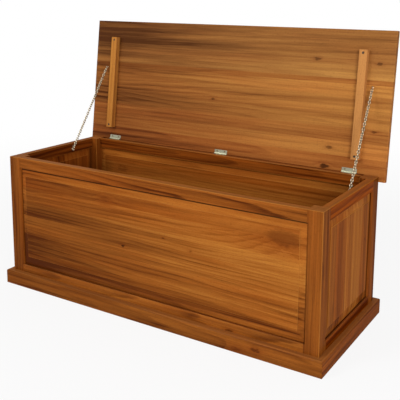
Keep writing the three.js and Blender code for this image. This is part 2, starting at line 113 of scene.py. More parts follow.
def share_setting(name, description, share):
    return FloatProperty(
        name=name, description=description, subtype="FACTOR", min=0, max=1, default=share)


def count_setting(name, description, count):
    return IntProperty(name=name, description=description, min=3, max=80, default=count)


def angle_setting(name, description, angle):
    return FloatProperty(
        name=name, description=description, subtype="ANGLE", unit="ROTATION",
        default=math.radians(angle))


def power_setting(name, description, power):
    return FloatProperty(
        name=name, description=description, subtype="POWER", unit="POWER", min=0, max=2000,
        default=power)


class ChestTimber(bpy.types.PropertyGroup):
    light: colour_setting("Light Growth", "Colour of the light growth", shown(196, 128, 52))
    middle: colour_setting(
        "Middle Growth", "Colour between the light and the dark growth", shown(149, 86, 30))
    dark: colour_setting(
        "Dark Growth", "Colour of the dark streaks and the rings' late growth", shown(82, 38, 10))
    knot: colour_setting("Knot", "Colour at the heart of a knot", shown(40, 16, 6))
    halo: colour_setting(
        "Knot Surround", "Reddish colour of the timber round a knot", shown(122, 54, 14))
    # Painted sheen: this paler colour is mixed into faces that look up, partly dulled wax and
    # partly painted sheen.
    dust: colour_setting(
        "Dulled Wax and Painted Sheen", "Colour of the dulled wax and the painted sheen on faces that look up", shown(182, 116, 60))
    ring: length_setting("Ring Spacing", "Distance between the growth rings", 2, 50, 11.5)
    arris: length_setting(
        "Arris", "How far the long edges of the frame are rounded over", 0.2, 3, 1.4)
    field_arris: length_setting(
        "Field Arris", "How far the edges of the raised fields are rounded over", 0.2, 1.4, 1)
    roughness: share_setting("Roughness", "Middle roughness of the waxed surface", 0.38)
    wax: share_setting("Wax", "Weight of the wax coat over the timber", 0.07)
    gloss: share_setting("Gloss", "How strongly the bare timber mirrors the room", 0)


class ChestMetal(bpy.types.PropertyGroup):
    hinge: colour_setting(
        "Hinge Metal", "Colour of the hinge leaves and pins", shown(176, 176, 152))
    chain: colour_setting(
        "Chain Metal", "Colour of the chain links and the screw eyes", shown(246, 226, 190))
    screw: colour_setting(
        "Screw Metal", "Colour of the screws in the hinge leaves", shown(150, 132, 100))
    batten_screw: colour_setting(
        "Batten Screw Metal", "Colour of the bronzed screws in the battens", shown(84, 62, 44))
    roughness: share_setting("Roughness", "Middle roughness of the plated metal", 0.34)


class ChestFittings(bpy.types.PropertyGroup):
    link_wire: length_setting("Link Wire", "Radius of the wire of a chain link", 0.2, 2, 1.3)
    link_half_width: length_setting(
        "Link Half Width", "From the middle of a link to the centre of its wire", 1, 6, 3.1)
    link_weld: length_setting(
        "Link Overlap", "How much longer a link is than its pitch", 0, 6, 2.7)
    joining_extra: length_setting(
        "Joining Link", "How much longer the joining link is than the others", 0, 6, 2)
    lower_links: count_setting("Lower Links", "Number of links in a chain's lower half", 25)
    upper_links: count_setting("Upper Links", "Number of links in a chain's upper half", 18)
    leaf_screw_head: length_setting(
        "Leaf Screw Head", "Radius of the head of a hinge leaf's screw", 1, 10, 3)
    batten_screw_head: length_setting(
        "Batten Screw Head", "Radius of the head of a batten's screw", 1, 10, 4)


class ChestStudio(bpy.types.PropertyGroup):
    camera_place: FloatVectorProperty(
        name="Camera Place", description="Where the camera stands",
        subtype="TRANSLATION", unit="LENGTH", size=3, default=(1.2231, -1.8078, 0.977))
    yaw: angle_setting("Yaw", "How far the camera turns to the left of straight on", 30.346)
    dip: angle_setting("Dip", "How far the camera looks down", 9.564)
    roll: angle_setting("Roll", "How far the camera is turned about its own axis", 0.735)
    lens: FloatProperty(
        name="Lens", description="Focal length in millimetres on a sensor 36 wide",
        min=10, max=200, default=61.76)
    shift: FloatVectorProperty(
        name="Shift", description="Shift of the camera across and up, in shares of the picture",
        size=2, default=(-0.0875, -0.2125))
    sky: share_setting("Room Light", "Strength of the even light of the room", 0.36)
    key: power_setting("Key Lamp", "Power of the large soft lamp at the front left", 105)
    fill: power_setting("Fill Lamp", "Power of the soft lamp at the front right", 72)
    top: power_setting("Top Lamp", "Power of the soft lamp above and behind", 8)
    floor: colour_setting("Floor", "Colour of the floor and the backdrop", (0.9, 0.9, 0.9))


class ChestSettings(bpy.types.PropertyGroup):
    timber: PointerProperty(type=ChestTimber)
    metal: PointerProperty(type=ChestMetal)
    fittings: PointerProperty(type=ChestFittings)
    studio: PointerProperty(type=ChestStudio)


# Shader sums
class Wire:
    """An output socket of a node. Sums on it add Math nodes, and node() adds any other node."""

    def __init__(self, tree, socket=None):
        self.tree = tree
        self.socket = socket

    def node(self, kind, settings=None, values=None, output=0):
        """Adds a node: its settings first, and then the values or links of its sockets."""
        added = self.tree.nodes.new(kind)
        for key, value in (settings or {}).items():
            if key == "stops":
                set_stops(added.color_ramp, value)
            elif key == "blending":
                added.color_ramp.interpolation = value
            else:
                setattr(added, key, value)
        self.fill(added, values or {})
        return Wire(self.tree, added.outputs[output] if added.outputs else None)

    def fill(self, node, values):
        """Gives a node's sockets their values or links, several links from a list."""
        for key, value in values.items():
            for one in (value if isinstance(value, list) else [value]):
                if isinstance(one, Wire):
                    self.tree.links.new(one.socket, node.inputs[key])
                else:
                    node.inputs[key].default_value = one

    def output(self, key):
        """Another output of this wire's node, by its name or place."""
        return Wire(self.tree, self.socket.node.outputs[key])

    def to(self, operation, other=0, is_reversed=False):
        first, second = (other, self) if is_reversed else (self, other)
        return self.node("ShaderNodeMath", {"operation": operation}, {0: first, 1: second})

    def vector(self, operation, other, output=0):
        return self.node(
            "ShaderNodeVectorMath", {"operation": operation}, {0: self, 1: other}, output)

    def __add__(self, other):
        return self.to("ADD", other)

    def __sub__(self, other):
        return self.to("SUBTRACT", other)

    def __rsub__(self, other):
        return self.to("SUBTRACT", other, True)

    def __mul__(self, other):
        return self.to("MULTIPLY", other)

    def __truediv__(self, other):
        return self.to("DIVIDE", other)

    def __pow__(self, other):
        return self.to("POWER", other)

    __radd__ = __add__
    __rmul__ = __mul__


def set_stops(ramp, stops):
    """Gives a ramp its stops, each a place from 0 to 1 and a grey or a colour."""
    while len(ramp.elements) < len(stops):
        ramp.elements.new(1)
    while len(ramp.elements) > len(stops):
        ramp.elements.remove(ramp.elements[-1])
    for element, (place, value) in zip(ramp.elements, stops):
        colour = (value,) * 3 if isinstance(value, (int, float)) else value
        element.position = place
        element.color = (*colour, 1)[:4]


def new_finish(name):
    """Returns a new material, a wire to start its sums from, and its shader node."""
    material = bpy.data.materials.new(name)
    material.use_nodes = True
    tree = material.node_tree
    tree.nodes.clear()
    start = Wire(tree)
    shader = start.node("ShaderNodeBsdfPrincipled")
    start.node("ShaderNodeOutputMaterial", None, {"Surface": shader})
    return material, start, shader.socket.node


def mixed(factor, first, second, blend="MIX"):
    """Mixes two colours, or a wire and a colour, by a factor."""
    first, second = (one if isinstance(one, Wire) else (*one[:3], 1) for one in (first, second))
    settings = {"data_type": "RGBA", "blend_type": blend}
    return factor.node("ShaderNodeMix", settings, {0: factor, 6: first, 7: second}, 2)


def between(wire, low, high):
    """Goes smoothly from 0 at low to 1 at high."""
    settings = {"interpolation_type": "SMOOTHSTEP"}
    return wire.node("ShaderNodeMapRange", settings, {0: wire, 1: low, 2: high})


def noise(spot, stretch, detail=2, chance=0.0, coarse=0.5):
    """Noise from about -0.5 to 0.5, with as many waves to the metre as stretch says."""
    at = spot.vector("MULTIPLY", stretch)
    settings = {"noise_dimensions": "4D"}
    values = {"Vector": at, "W": chance, "Scale": 1, "Detail": detail, "Roughness": coarse}
    return at.node("ShaderNodeTexNoise", settings, values, "Fac") - 0.5


def relief_of(height, strength, distance):
    """The normal of a surface whose height varies by so much."""
    values = {"Strength": strength, "Distance": distance, "Height": height}
    return height.node("ShaderNodeBump", None, values)


# How a wooden piece lies: the ways that its grain runs, its width and its thickness
Lay = namedtuple("Lay", "along across through")
FRONT = Lay(ALONG_X, ALONG_Z, ALONG_Y)
SIDE = Lay(ALONG_Y, ALONG_Z, ALONG_X)
UPRIGHT_SIDE = Lay(ALONG_Z, ALONG_Y, ALONG_X)
POST = Lay(ALONG_Z, ALONG_X, ALONG_Y)
FLOOR = Lay(ALONG_X, ALONG_Y, ALONG_Z)
LID = Lay(ALONG_X, UP_LID, OFF_LID)
BATTEN = Lay(UP_LID, ALONG_X, OFF_LID)

# How deep a panel is housed, how far below its middle the painted shadow line is shifted, and over
# which reach that painted shade darkens it
HOUSED = 7 * MM
HOUSED_DROP = 3.5 * MM
SHADOW_LINE_REACH = (-3.5 * MM, 0.5 * MM)
SLOPE = 0.14
SMALL_KNOT = 8 * MM
PITH_REACH = 0.4
PITH_DEPTH = 0.25
RING_SHAPE = [(0, 0), (0.3, 0.06), (0.62, 0.38), (0.86, 1), (0.95, 0.7), (1, 0)]
WARMTH = (1.0, 0.75, 0.56)


def lay_of(side, other=SIDE):
    return FRONT if side.startswith(("front", "rear")) else other


def board_table(node, lay, across, boards):
    """What the board at each place across a node has: its tone, where its pith lies and its red."""
    middle = middle_of(node)
    spans = [(vertex.co - middle).dot(lay.across) for vertex in frame["nodes"][node].data.vertices]
    low, high = min(spans), max(spans)
    stops = [(at, (tone, 0.5 + aside / PITH_REACH, behind / PITH_DEPTH, red))
             for at, tone, aside, behind, red in boards]
    table = across.node(
        "ShaderNodeValToRGB", {"blending": "CONSTANT", "stops": stops},
        {"Fac": (across - low) / (high - low)}, "Color")
    parts = across.node("ShaderNodeSeparateColor", None, {0: table})
    return [parts.output(i) for i in range(3)] + [table.output("Alpha")]


def knotted(knots, radius, along, across, waver, gnarl):
    """Bends the rings round each knot. Returns their radius, the knots' hearts and surrounds."""
    heart = around = None
    for knot_along, knot_across, size, darkness in knots:
        run = (along - knot_along) / (size * 2)
        rise = (across - knot_across) / size
        apart = run * run + rise * rise + waver * 1.6 + gnarl * (4 * min(1, SMALL_KNOT / size))
        swirl = (apart * -0.4).to("EXPONENT")
        radius = radius + swirl * (size * 1.2)
        core = (1 - between(apart, 0.1, 0.8)) * darkness
        heart = core if heart is None else heart.to("MAXIMUM", core)
        around = swirl if around is None else around.to("MAXIMUM", swirl)
    return radius, heart, around


def timber_finish(
        node, lay, boards, chance, tilt=0.04, figure=1.0, fade=0.0, tint=None, dusty=0.0,
        gathering=0.0):
    """Waxed hardwood. Each board has a place across the width, from 0 to 1, a tone, how far its
    pith lies across and behind, and how red it is. Figure is how strongly the rings show. The
    falloff setting paints light falloff: the timber is darker towards the end of the piece at -X
    and lighter towards +X. A tint turns the hue and the fullness of the colour. The sheen setting
    mixes a paler colour into the faces that look up, partly dulled wax and partly a painted sheen.
    In a panel, the shading setting paints a shadow line where it is housed, darkest just under the
    top rail, and paints its slopes: a painted highlight where they look up, and painted shade where
    they look aside."""
    timber = bpy.context.scene.blanket_chest.timber
    material, start, shader = new_finish(f"{node}_timber")
    place = start.node("ShaderNodeTexCoord", None, None, "Object")
    spot = place.vector("SUBTRACT", middle_of(node))
    along, across, through = (spot.vector("DOT_PRODUCT", way, "Value") for way in lay)
    grain = start.node("ShaderNodeCombineXYZ", None, {0: along, 1: across, 2: through})
    facing = place.output("Normal")
    faces_up = facing.vector("DOT_PRODUCT", ALONG_Z, "Value")

    tone, aside, behind, red = board_table(node, lay, across, boards)
    own = tone * 37 + aside * 61 + chance
    drift = noise(grain, (1.2, 8, 8), 2, own)
    waver = noise(grain, (4.5, 30, 30), 3, own + 3)
    band = between(noise(grain, (1.1, 27, 27), 2, own + 5), -0.16, 0.16) - 0.5
    streak = noise(grain, (1.9, 75, 75), 4, own + 7, 0.65)
    thread = between(noise(grain, (1.6, 125, 125), 3, own + 9), 0.05, 0.2)
    fibre = noise(grain, (9, 430, 430), 3, chance + 11, 0.6)
    fine = noise(grain, (45, 1700, 1700), 1, chance + 13)
    blotch = noise(grain, (3.2, 22, 22), 3, own + 17)
    pores = between(noise(grain, (110, 1900, 1900), 0, chance + 19), 0.13, 0.2)

    sideways = across - (aside - 0.5) * PITH_REACH + drift * 0.05
    inwards = through + behind * PITH_DEPTH + along * tilt
    radius = (sideways * sideways + inwards * inwards) ** 0.5
    knots = KNOTS.get(node)
    if knots:
        gnarl = noise(grain, (70, 240, 240), 2, own + 29)
        radius, heart, around = knotted(knots, radius, along, across, waver, gnarl)
    turn = (radius / timber.ring + waver * 1.2).to("FRACT")
    ring = start.node("ShaderNodeValToRGB", {"stops": RING_SHAPE}, {"Fac": turn}, "Color")
    ring_strength = between(noise(grain, (0.9, 13, 13), 2, own + 23), -0.2, 0.22)
    late = start.node("ShaderNodeSeparateColor", None, {0: ring}) * (ring_strength * 0.8 + 0.2)

    depth = tone + band * 0.17 + streak * 0.8 + fibre * 0.3 + fine * 0.1
    depth = depth - late * (0.3 * figure) - thread * (0.2 * figure)
    # Painted light falloff: darker towards the piece's end at -X, lighter towards +X.
    if fade:
        depth = depth - (between(along * -1, -0.4, 0.6) - 0.28) * fade
    if gathering:
        # Painted light on the panel's slopes: a painted highlight where they look up, painted shade
        # where they look aside.
        depth = depth + faces_up.to("MINIMUM", SLOPE).to("MAXIMUM", -SLOPE / 2) * 1.3
        faces_aside = facing.vector("DOT_PRODUCT", lay.through.cross(ALONG_Z), "Value")
        depth = depth - faces_aside.to("MINIMUM", SLOPE).to("MAXIMUM", 0) * 0.8
    stops = [(0.06, timber.dark), (0.42, timber.middle), (0.88, timber.light)]
    colour = start.node("ShaderNodeValToRGB", {"stops": stops}, {"Fac": depth}, "Color")
    warm = red + blotch * 1.4 + band * 0.15
    colour = mixed(warm.to("MAXIMUM", 0), colour, WARMTH, "MULTIPLY")
    colour = mixed(pores * 0.35, colour, timber.dark)
    if knots:
        colour = mixed(around * 0.4, colour, timber.halo)
        colour = mixed(heart.to("MINIMUM", 1) * 0.85, colour, timber.knot)
    # Lighter arrises: partly wear of the finish and partly a painted highlight along the rounded
    # edges.
    wear_and_highlight = start.node("ShaderNodeAttribute", {"attribute_name": "arris"}, None, "Fac")
    colour = mixed(wear_and_highlight * (fibre + 0.8) * 0.55, colour, timber.light)
    # Painted shadow line in the knot colour along the edges where the panel is housed, shifted down
    # so that it is darkest just under the top rail.
    if gathering:
        low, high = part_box(node)
        reach_along, reach_across = (abs((high - low).dot(way)) / 2 for way in lay[:2])
        ends = along.to("ABSOLUTE") - reach_along + HOUSED
        sides = (across + HOUSED_DROP).to("ABSOLUTE") - reach_across + HOUSED + MM
        shadow_line = between(ends.to("MAXIMUM", sides), *SHADOW_LINE_REACH)
        colour = mixed(shadow_line * gathering, colour, timber.knot)
    if tint:
        hue, strength = tint
        colour = colour.node("ShaderNodeHueSaturation", None, {
            "Color": colour, "Hue": hue, "Saturation": strength, "Value": 1})
    # Painted sheen: faces that look up are mixed towards a paler colour, partly dulled wax and
    # partly painted sheen.
    if dusty:
        colour = mixed(between(faces_up, 0.6, 0.95) * dusty, colour, timber.dust)

    rough = timber.roughness + fibre * 0.12 + late * 0.07 + pores * 0.15 - wear_and_highlight * 0.08
    height = fibre * 0.8 + fine * 0.5 - pores * 0.9 - late * 0.35
    start.fill(shader, {
        "Base Color": colour, "Roughness": rough, "Normal": relief_of(height, 0.3, 0.35 * MM),
        "Specular IOR Level": timber.gloss, "Coat Weight": timber.wax, "Coat Roughness": 0.25})
    return material


def metal_finish(name, colour, roughness, tarnish, painted_overlap_shade=0.0):
    """Plated or drawn metal with fine scratches and darker, duller patches. A painted shade darkens
    the ends of chain links, where the next links overlap them."""
    material, start, shader = new_finish(name)
    place = start.node("ShaderNodeTexCoord", None, None, "Object")
    patches = noise(place, (160, 160, 160), 4, 2.0, 0.6)
    scratches = noise(place, (260, 2600, 2600), 2, 5.0)
    dull = between(patches, -0.05, 0.3)
    base = mixed(dull * tarnish, colour, [value * 0.45 for value in colour])
    base = mixed(between(scratches, 0, 0.3) * 0.25, base, (1, 0.97, 0.88))
    if painted_overlap_shade:
        overlap_shade_share = start.node("ShaderNodeAttribute", {"attribute_name": "rub"}, None, "Fac")
        base = mixed(overlap_shade_share * painted_overlap_shade, base, [value * 0.08 for value in colour])
    start.fill(shader, {
        "Base Color": base, "Metallic": 1, "Roughness": roughness + dull * 0.2 + scratches * 0.1,
        "Normal": relief_of(scratches * 0.6 + patches * 0.4, 0.25, 0.1 * MM)})
    return material


# Meshes
MERGE = 1e-6
SEAM = 0.3 * MM
FLAT = math.radians(0.5)
CORNER = math.radians(60)
SMOOTH = math.radians(46)
METAL_SMOOTH = math.radians(35)
ARRIS_STEPS = 3


def linked(name, data):
    obj = bpy.data.objects.new(name, data)
    bpy.context.scene.collection.objects.link(obj)
    return obj


def new_object(name, mesh, material):
    mesh.materials.clear()
    mesh.materials.append(material)
    return linked(name, mesh)


def smooth_over(mesh, angle=SMOOTH):
    mesh.shade_smooth()
    mesh.set_sharp_from_angle(angle=angle)


def as_mesh(name, work, turn=None):
    """Writes a bmesh into a new mesh, smooth but for its sharp edges, and frees it."""
    mesh = bpy.data.meshes.new(name)
    work.to_mesh(mesh)
    work.free()
    if turn is not None:
        mesh.transform(turn)
    smooth_over(mesh)
    return mesh


def evaluated(obj):
    """The mesh that an object's modifiers or bevel make of it."""
    graph = bpy.context.evaluated_depsgraph_get()
    return bpy.data.meshes.new_from_object(obj.evaluated_get(graph), depsgraph=graph)


def applied(obj):
    """Takes an object's evaluated form as its plain mesh and drops its modifiers."""
    mesh, old = evaluated(obj), obj.data
    obj.modifiers.clear()
    obj.data = mesh
    mesh.name = obj.name
    if not old.users:
        bpy.data.meshes.remove(old)
    return obj


def seat(obj, body, slot, *nodes):
    """Puts a finished piece on its body and in place of its nodes. Its slot is not used."""
    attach(obj, body)
    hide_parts(*nodes)


def dressed(node, material, width, is_eased, glued):
    """A planed copy of a wooden node. The square edges that is_eased picks are rounded over by the
    width, and the sides that face the glued ways are drawn out to the middle of their seam."""
    work = bmesh.new()
    work.from_mesh(frame["nodes"][node].data)
    bmesh.ops.remove_doubles(work, verts=work.verts, dist=MERGE)
    bmesh.ops.dissolve_limit(work, angle_limit=FLAT, verts=work.verts, edges=work.edges)
    for way in glued:
        board_edge = max(vertex.co.dot(way) for vertex in work.verts)
        for vertex in work.verts:
            if vertex.co.dot(way) > board_edge - MERGE:
                vertex.co += way * SEAM / 2
    arris = work.faces.layers.float.new("arris")
    edges = []
    for edge in work.edges:
        if is_eased and edge.is_manifold and edge.calc_face_angle_signed() > CORNER:
            first, last = (vertex.co for vertex in edge.verts)
            if is_eased((first + last) / 2, last - first):
                edges.append(edge)
    if edges:
        made = bmesh.ops.bevel(
            work, geom=edges, offset=width, offset_type="OFFSET", segments=ARRIS_STEPS,
            profile=0.5, affect="EDGES", clamp_overlap=False)
        for face in made["faces"]:
            face[arris] = 1
    obj = new_object(f"{node}_dressed", as_mesh(f"{node}_dressed", work), material)
    weigh = obj.modifiers.new("Even Faces", "WEIGHTED_NORMAL")
    weigh.keep_sharp = True
    weigh.weight = 100
    return applied(obj)


def wooden(node, body, slot, lay, boards, chance, width=0, is_eased=None, glued=(), **look):
    """Dresses a wooden node, finishes it and seats it. Chance gives it a grain of its own."""
    finish = timber_finish(node, lay, boards, chance, **look)
    seat(dressed(node, finish, width, is_eased, glued), body, slot, node)


def mirrored(profile):
    """Half a lathe's profile, and then the same back to front on the other side of the middle."""
    return profile + [(radius, -height) for radius, height in reversed(profile)]


def lathe(profile, sides):
    """A solid turned about Z, from pairs of radius and height that start and end on the axis."""
    work = bmesh.new()
    rings = []
    for radius, height in profile:
        angles = [math.tau * i / sides for i in range(sides)] if radius else [0]
        rings.append([work.verts.new((radius * math.cos(a), radius * math.sin(a), height))
                      for a in angles])
    for lower, upper in zip(rings, rings[1:]):
        for i in range(sides):
            j = (i + 1) % sides
            corners = [lower[i % len(lower)], lower[j % len(lower)],
                       upper[j % len(upper)], upper[i % len(upper)]]
            work.faces.new(list(dict.fromkeys(corners)))
    return work


def rounded_rod(radius, length, ease, sides):
    """A rod centred on the origin along Z with its two end arrises taken off."""
    half = length / 2
    return lathe(mirrored([(0, -half), (radius - ease, -half), (radius, ease - half)]), sides)


def carved(base, tools):
    """Joins or cuts an object with others, each with UNION or DIFFERENCE, and removes them."""
    for tool, operation in tools:
        change = base.modifiers.new("Carve", "BOOLEAN")
        change.operation = operation
        change.solver = "EXACT"
        change.object = tool
    applied(base)
    for tool, _ in tools:
        mesh = tool.data
        bpy.data.objects.remove(tool)
        bpy.data.meshes.remove(mesh)
    return base


def new_tree(name, sockets):
    """A geometry tree with named inputs, and the wires that carry them by name."""
    tree = bpy.data.node_groups.new(name, "GeometryNodeTree")
    tree.interface.new_socket("Geometry", in_out="OUTPUT", socket_type="NodeSocketGeometry")
    for label, kind in sockets.items():
        tree.interface.new_socket(label, in_out="INPUT", socket_type=f"NodeSocket{kind}")
    entry = tree.nodes.new("NodeGroupInput")
    return tree, {label: Wire(tree, entry.outputs[label]) for label in sockets}


def end_tree(tree, shape, material):
    """Ends a tree in Realize Instances and Set Material."""
    real = shape.node("GeometryNodeRealizeInstances", None, {0: shape})
    painted = shape.node("GeometryNodeSetMaterial", None, {0: real, "Material": material})
    shape.node("NodeGroupOutput", None, {0: painted})
    return tree


def grown(name, tree, values):
    """Runs a geometry tree on an empty mesh and returns the plain result."""
    obj = linked(name, bpy.data.meshes.new(name))
    modifier = obj.modifiers.new(name, "NODES")
    modifier.node_group = tree
    for socket in tree.interface.items_tree:
        if socket.in_out == "INPUT":
            modifier[socket.identifier] = values[socket.name]
    applied(obj)
    if not obj.data.polygons:
        raise RuntimeError(f"{name} came out empty")
    return obj


# The wooden pieces' boards. Each has a place, a tone, its pith across and behind, and its red
POST_BOARDS = {
    "front_right": [(0, 0.34, 0.09, 0.03, 0.35)],
    "front_left": [(0, 0.32, -0.08, 0.05, 0.45)],
    "rear_left": [(0, 0.36, 0.1, 0.04, 0.6)],
    "rear_right": [(0, 0.28, -0.09, 0.04, 0.6)],
}
RAIL_BOARDS = {
    "front_top": [(0, 0.4, -0.02, 0.05, 0.4)],
    "front_bottom": [(0, 0.42, 0.03, 0.06, 0.3)],
    "right_top": [(0, 0.37, 0.05, 0.04, 1)],
    "right_bottom": [(0, 0.32, -0.04, 0.05, 1)],
    "rear_top": [(0, 0.34, 0, 0.03, 0.85)],
    "rear_bottom": [(0, 0.4, 0.02, 0.05, 0.4)],
    "left_top": [(0, 0.3, -0.05, 0.04, 1)],
    "left_bottom": [(0, 0.38, 0.03, 0.05, 0.6)],
}
PLINTH_BOARDS = {
    "front": [(0, 0.36, -0.01, 0.05, 0.15)],
    "right": [(0, 0.34, 0.03, 0.06, 0.6)],
    "rear": [(0, 0.4, 0.02, 0.05, 0.3)],
    "left": [(0, 0.4, -0.02, 0.06, 0.3)],
}
PANEL_BOARDS = {
    "front": [(0, 0.35, -0.2, 0.12, 0.25), (0.16, 0.42, -0.19, 0.1, 0.15),
              (0.34, 0.48, -0.16, 0.06, 0.05), (0.52, 0.53, 0.2, 0.05, 0.05),
              (0.66, 0.48, 0.19, 0.08, 0.3), (0.8, 0.44, 0.14, 0.04, 0.5)],
    "right": [(0, 0.46, -0.1, 0.05, 0.4), (0.19, 0.44, 0.05, 0.05, 0.6),
              (0.38, 0.5, -0.1, 0.1, 0.4), (0.56, 0.56, 0.12, 0.05, 0.3),
              (0.76, 0.42, 0.08, 0.06, 0.5)],
    "rear": [(0, 0.38, 0.1, 0.05, 0.4), (0.22, 0.46, -0.1, 0.06, 0.2),
             (0.45, 0.44, 0.02, 0.05, 0.3), (0.66, 0.5, -0.1, 0.08, 0.3),
             (0.84, 0.4, 0.15, 0.03, 0.6)],
    "left": [(0, 0.34, 0.1, 0.05, 0.8), (0.22, 0.4, -0.1, 0.06, 0.8),
             (0.4, 0.32, 0.05, 0.06, 0.9), (0.58, 0.4, -0.1, 0.08, 0.7),
             (0.8, 0.36, 0.1, 0.05, 0.8)],
}
BOTTOM_BOARDS = [
    (0, 0.4, 0.1, 0.05, 0.4), (0.2, 0.46, -0.1, 0.06, 0.3), (0.4, 0.38, 0.1, 0.08, 0.5),
    (0.6, 0.48, -0.05, 0.05, 0.3), (0.8, 0.42, 0.1, 0.06, 0.4),
]
LID_BOARDS = {
    "front": [(0, 0.62, -0.12, 0.07, 0.05), (0.13, 0.44, -0.12, 0.07, 0.1),
              (0.4, 0.39, 0.1, 0.06, 0), (0.75, 0.36, 0.02, 0.06, 0)],
    "middle": [(0, 0.54, -0.1, 0.06, 0.1), (0.3, 0.6, 0.12, 0.09, 0.1),
               (0.66, 0.64, -0.08, 0.12, 0.1), (0.9, 0.5, 0.1, 0.04, 0.3)],
    "rear": [(0, 0.56, -0.03, 0.03, 0.5), (0.42, 0.68, 0.11, 0.05, 0.2),
             (0.72, 0.58, -0.1, 0.07, 0.2)],
}
LID_LOOKS = {
    "front": {"figure": 0.34, "tint": (0.508, 0.945)},
    "middle": {"figure": 0.64, "tint": (0.503, 0.965)},
    "rear": {"figure": 0.8, "tint": (0.5, 0.97)},
}
LID_GLUED = {"front": [-UP_LID], "middle": [UP_LID, -UP_LID], "rear": [UP_LID]}
BATTENS = {"left": (0.82, (0.5, 0.985)), "right": (0.92, (0.5, 0.935))}
# Painted light falloff for the front panel and plinth, the lid and the front rails.
FRONT_PAINTED_FALLOFF = 0.36
LID_PAINTED_FALLOFF = 0.28
RAIL_PAINTED_FALLOFF = {"front_top": 0.14, "front_bottom": 0.1}
RIGHT_RAIL_TINT = (0.496, 1.07)
# Strength of each panel's painted shadow line, which also turns on its painted slope light.
PAINTED_SHADING = {"front": 0.9, "right": 0.9, "rear": 0.35, "left": 0.35}

# A knot's place along and across from the middle of its piece, its size, and how dark it is
KNOTS = {
    "front_bottom_rail": [(0.295, 0.01, 0.006, 0.6)],
    "front_plinth": [(0.389, 0, 0.008, 0.5), (0.33, -0.012, 0.01, 0.25)],
    "front_panel": [(-0.089, -0.018, 0.005, 1), (0.063, 0.037, 0.003, 0.6),
                    (0.159, 0.016, 0.003, 0.6), (0.46, 0.11, 0.032, 0.38),
                    (-0.16, 0.12, 0.012, 0.2)],
    "right_panel": [(0.03, 0.12, 0.004, 0.8)],
    "rear_panel": [(0.2, 0.02, 0.006, 0.8), (-0.42, 0.1, 0.016, 0.3)],
    "lid_front_board": [(0.336, -0.02, 0.006, 0.55), (0.543, -0.026, 0.006, 0.6)],
    "lid_middle_board": [(-0.048, -0.025, 0.005, 0.7)],
    "lid_rear_board": [(0.389, -0.05, 0.008, 0.9), (0.4, 0.01, 0.006, 0.6),
                       (0.545, 0.075, 0.005, 0.6)],
}
GROOVE_HALF = 5 * MM
UPRIGHT = 0.2


def near(first, second):
    return abs(first - second) < MM


class CHEST_OT_posts(bpy.types.Operator):
    """Dresses the four corner posts"""
    bl_idname = "chest.posts"
    bl_label = "Corner Posts"

    def execute(self, context):
        timber = context.scene.blanket_chest.timber
        for turn, (corner, boards) in enumerate(POST_BOARDS.items()):
            node = f"{corner}_post"
            low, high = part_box(node)
            outer_x = max(low.x, high.x, key=abs)
            outer_y = high.y if corner.startswith("rear") else low.y
            inner_x, inner_y = low.x + high.x - outer_x, low.y + high.y - outer_y

            def is_eased(at, way):
                on_outside = near(at.x, outer_x), near(at.y, outer_y)
                is_inner_corner = near(at.x, inner_x) and near(at.y, inner_y)
                is_top = near(at.z, high.z) and abs(way.z) < MM
                is_upright = abs(way.z) > UPRIGHT
                return (is_upright and (all(on_outside) or is_inner_corner)
                        or is_top and any(on_outside))

            wooden(node, "chest", "post_wood", POST, boards, 3 * turn + 1, timber.arris,
                   is_eased, tilt=0.02, figure=0.45, dusty=0.5)
        return {"FINISHED"}


class CHEST_OT_rails(bpy.types.Operator):
    """Dresses the top and bottom rails of the four sides"""
    bl_idname = "chest.rails"
    bl_label = "Rails"

    def execute(self, context):
        timber = context.scene.blanket_chest.timber
        for turn, (rail, boards) in enumerate(RAIL_BOARDS.items()):
            node = f"{rail}_rail"
            lay = lay_of(rail)
            low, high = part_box(node)
            middle, length = middle_of(node), (high - low).dot(lay.along)

            def is_eased(at, way):
                is_long = abs(way.dot(lay.along)) > 0.5 * length
                is_in_groove = abs((at - middle).dot(lay.through)) < GROOVE_HALF
                is_hidden = rail.endswith("bottom") and at.z < high.z - MM
                return is_long and not is_in_groove and not is_hidden

            tint = RIGHT_RAIL_TINT if rail.startswith("right") else None
            wooden(node, "chest", "rail_wood", lay, boards, 5 * turn + 2, timber.arris,
                   is_eased, fade=RAIL_PAINTED_FALLOFF.get(rail, 0), dusty=0.5, tint=tint)
        return {"FINISHED"}


class CHEST_OT_panels(bpy.types.Operator):
    """Dresses the four raised and fielded panels, each glued up from several boards"""
    bl_idname = "chest.panels"
    bl_label = "Fielded Panels"

    def execute(self, context):
        timber = context.scene.blanket_chest.timber
        for turn, (side, boards) in enumerate(PANEL_BOARDS.items()):
            node = f"{side}_panel"
            lay = lay_of(side, UPRIGHT_SIDE)
            low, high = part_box(node)
            middle, face = middle_of(node), (high - low).dot(lay.through) / 2

            def is_eased(at, way):
                return abs(abs((at - middle).dot(lay.through)) - face) < 0.1 * MM

            wooden(node, "chest", "panel_wood", lay, boards, 7 * turn + 4,
                   timber.field_arris, is_eased, tilt=0.03, figure=0.6,
                   fade=FRONT_PAINTED_FALLOFF if side == "front" else 0, gathering=PAINTED_SHADING[side])
        return {"FINISHED"}


class CHEST_OT_plinth(bpy.types.Operator):
    """Dresses the four mitred plinth boards"""
    bl_idname = "chest.plinth"
    bl_label = "Plinth"

    def execute(self, context):
        for turn, (side, boards) in enumerate(PLINTH_BOARDS.items()):
            wooden(f"{side}_plinth", "chest", "plinth_wood", lay_of(side), boards,
                   6 * turn + 5, figure=0.7, fade=FRONT_PAINTED_FALLOFF / 2 if side == "front" else 0,
                   dusty=0.4)
        return {"FINISHED"}


class CHEST_OT_bottom(bpy.types.Operator):
    """Dresses the bottom panel"""
    bl_idname = "chest.bottom"
    bl_label = "Bottom Panel"

    def execute(self, context):
        wooden("bottom_panel", "chest", "bottom_wood", FLOOR, BOTTOM_BOARDS, 50)
        return {"FINISHED"}


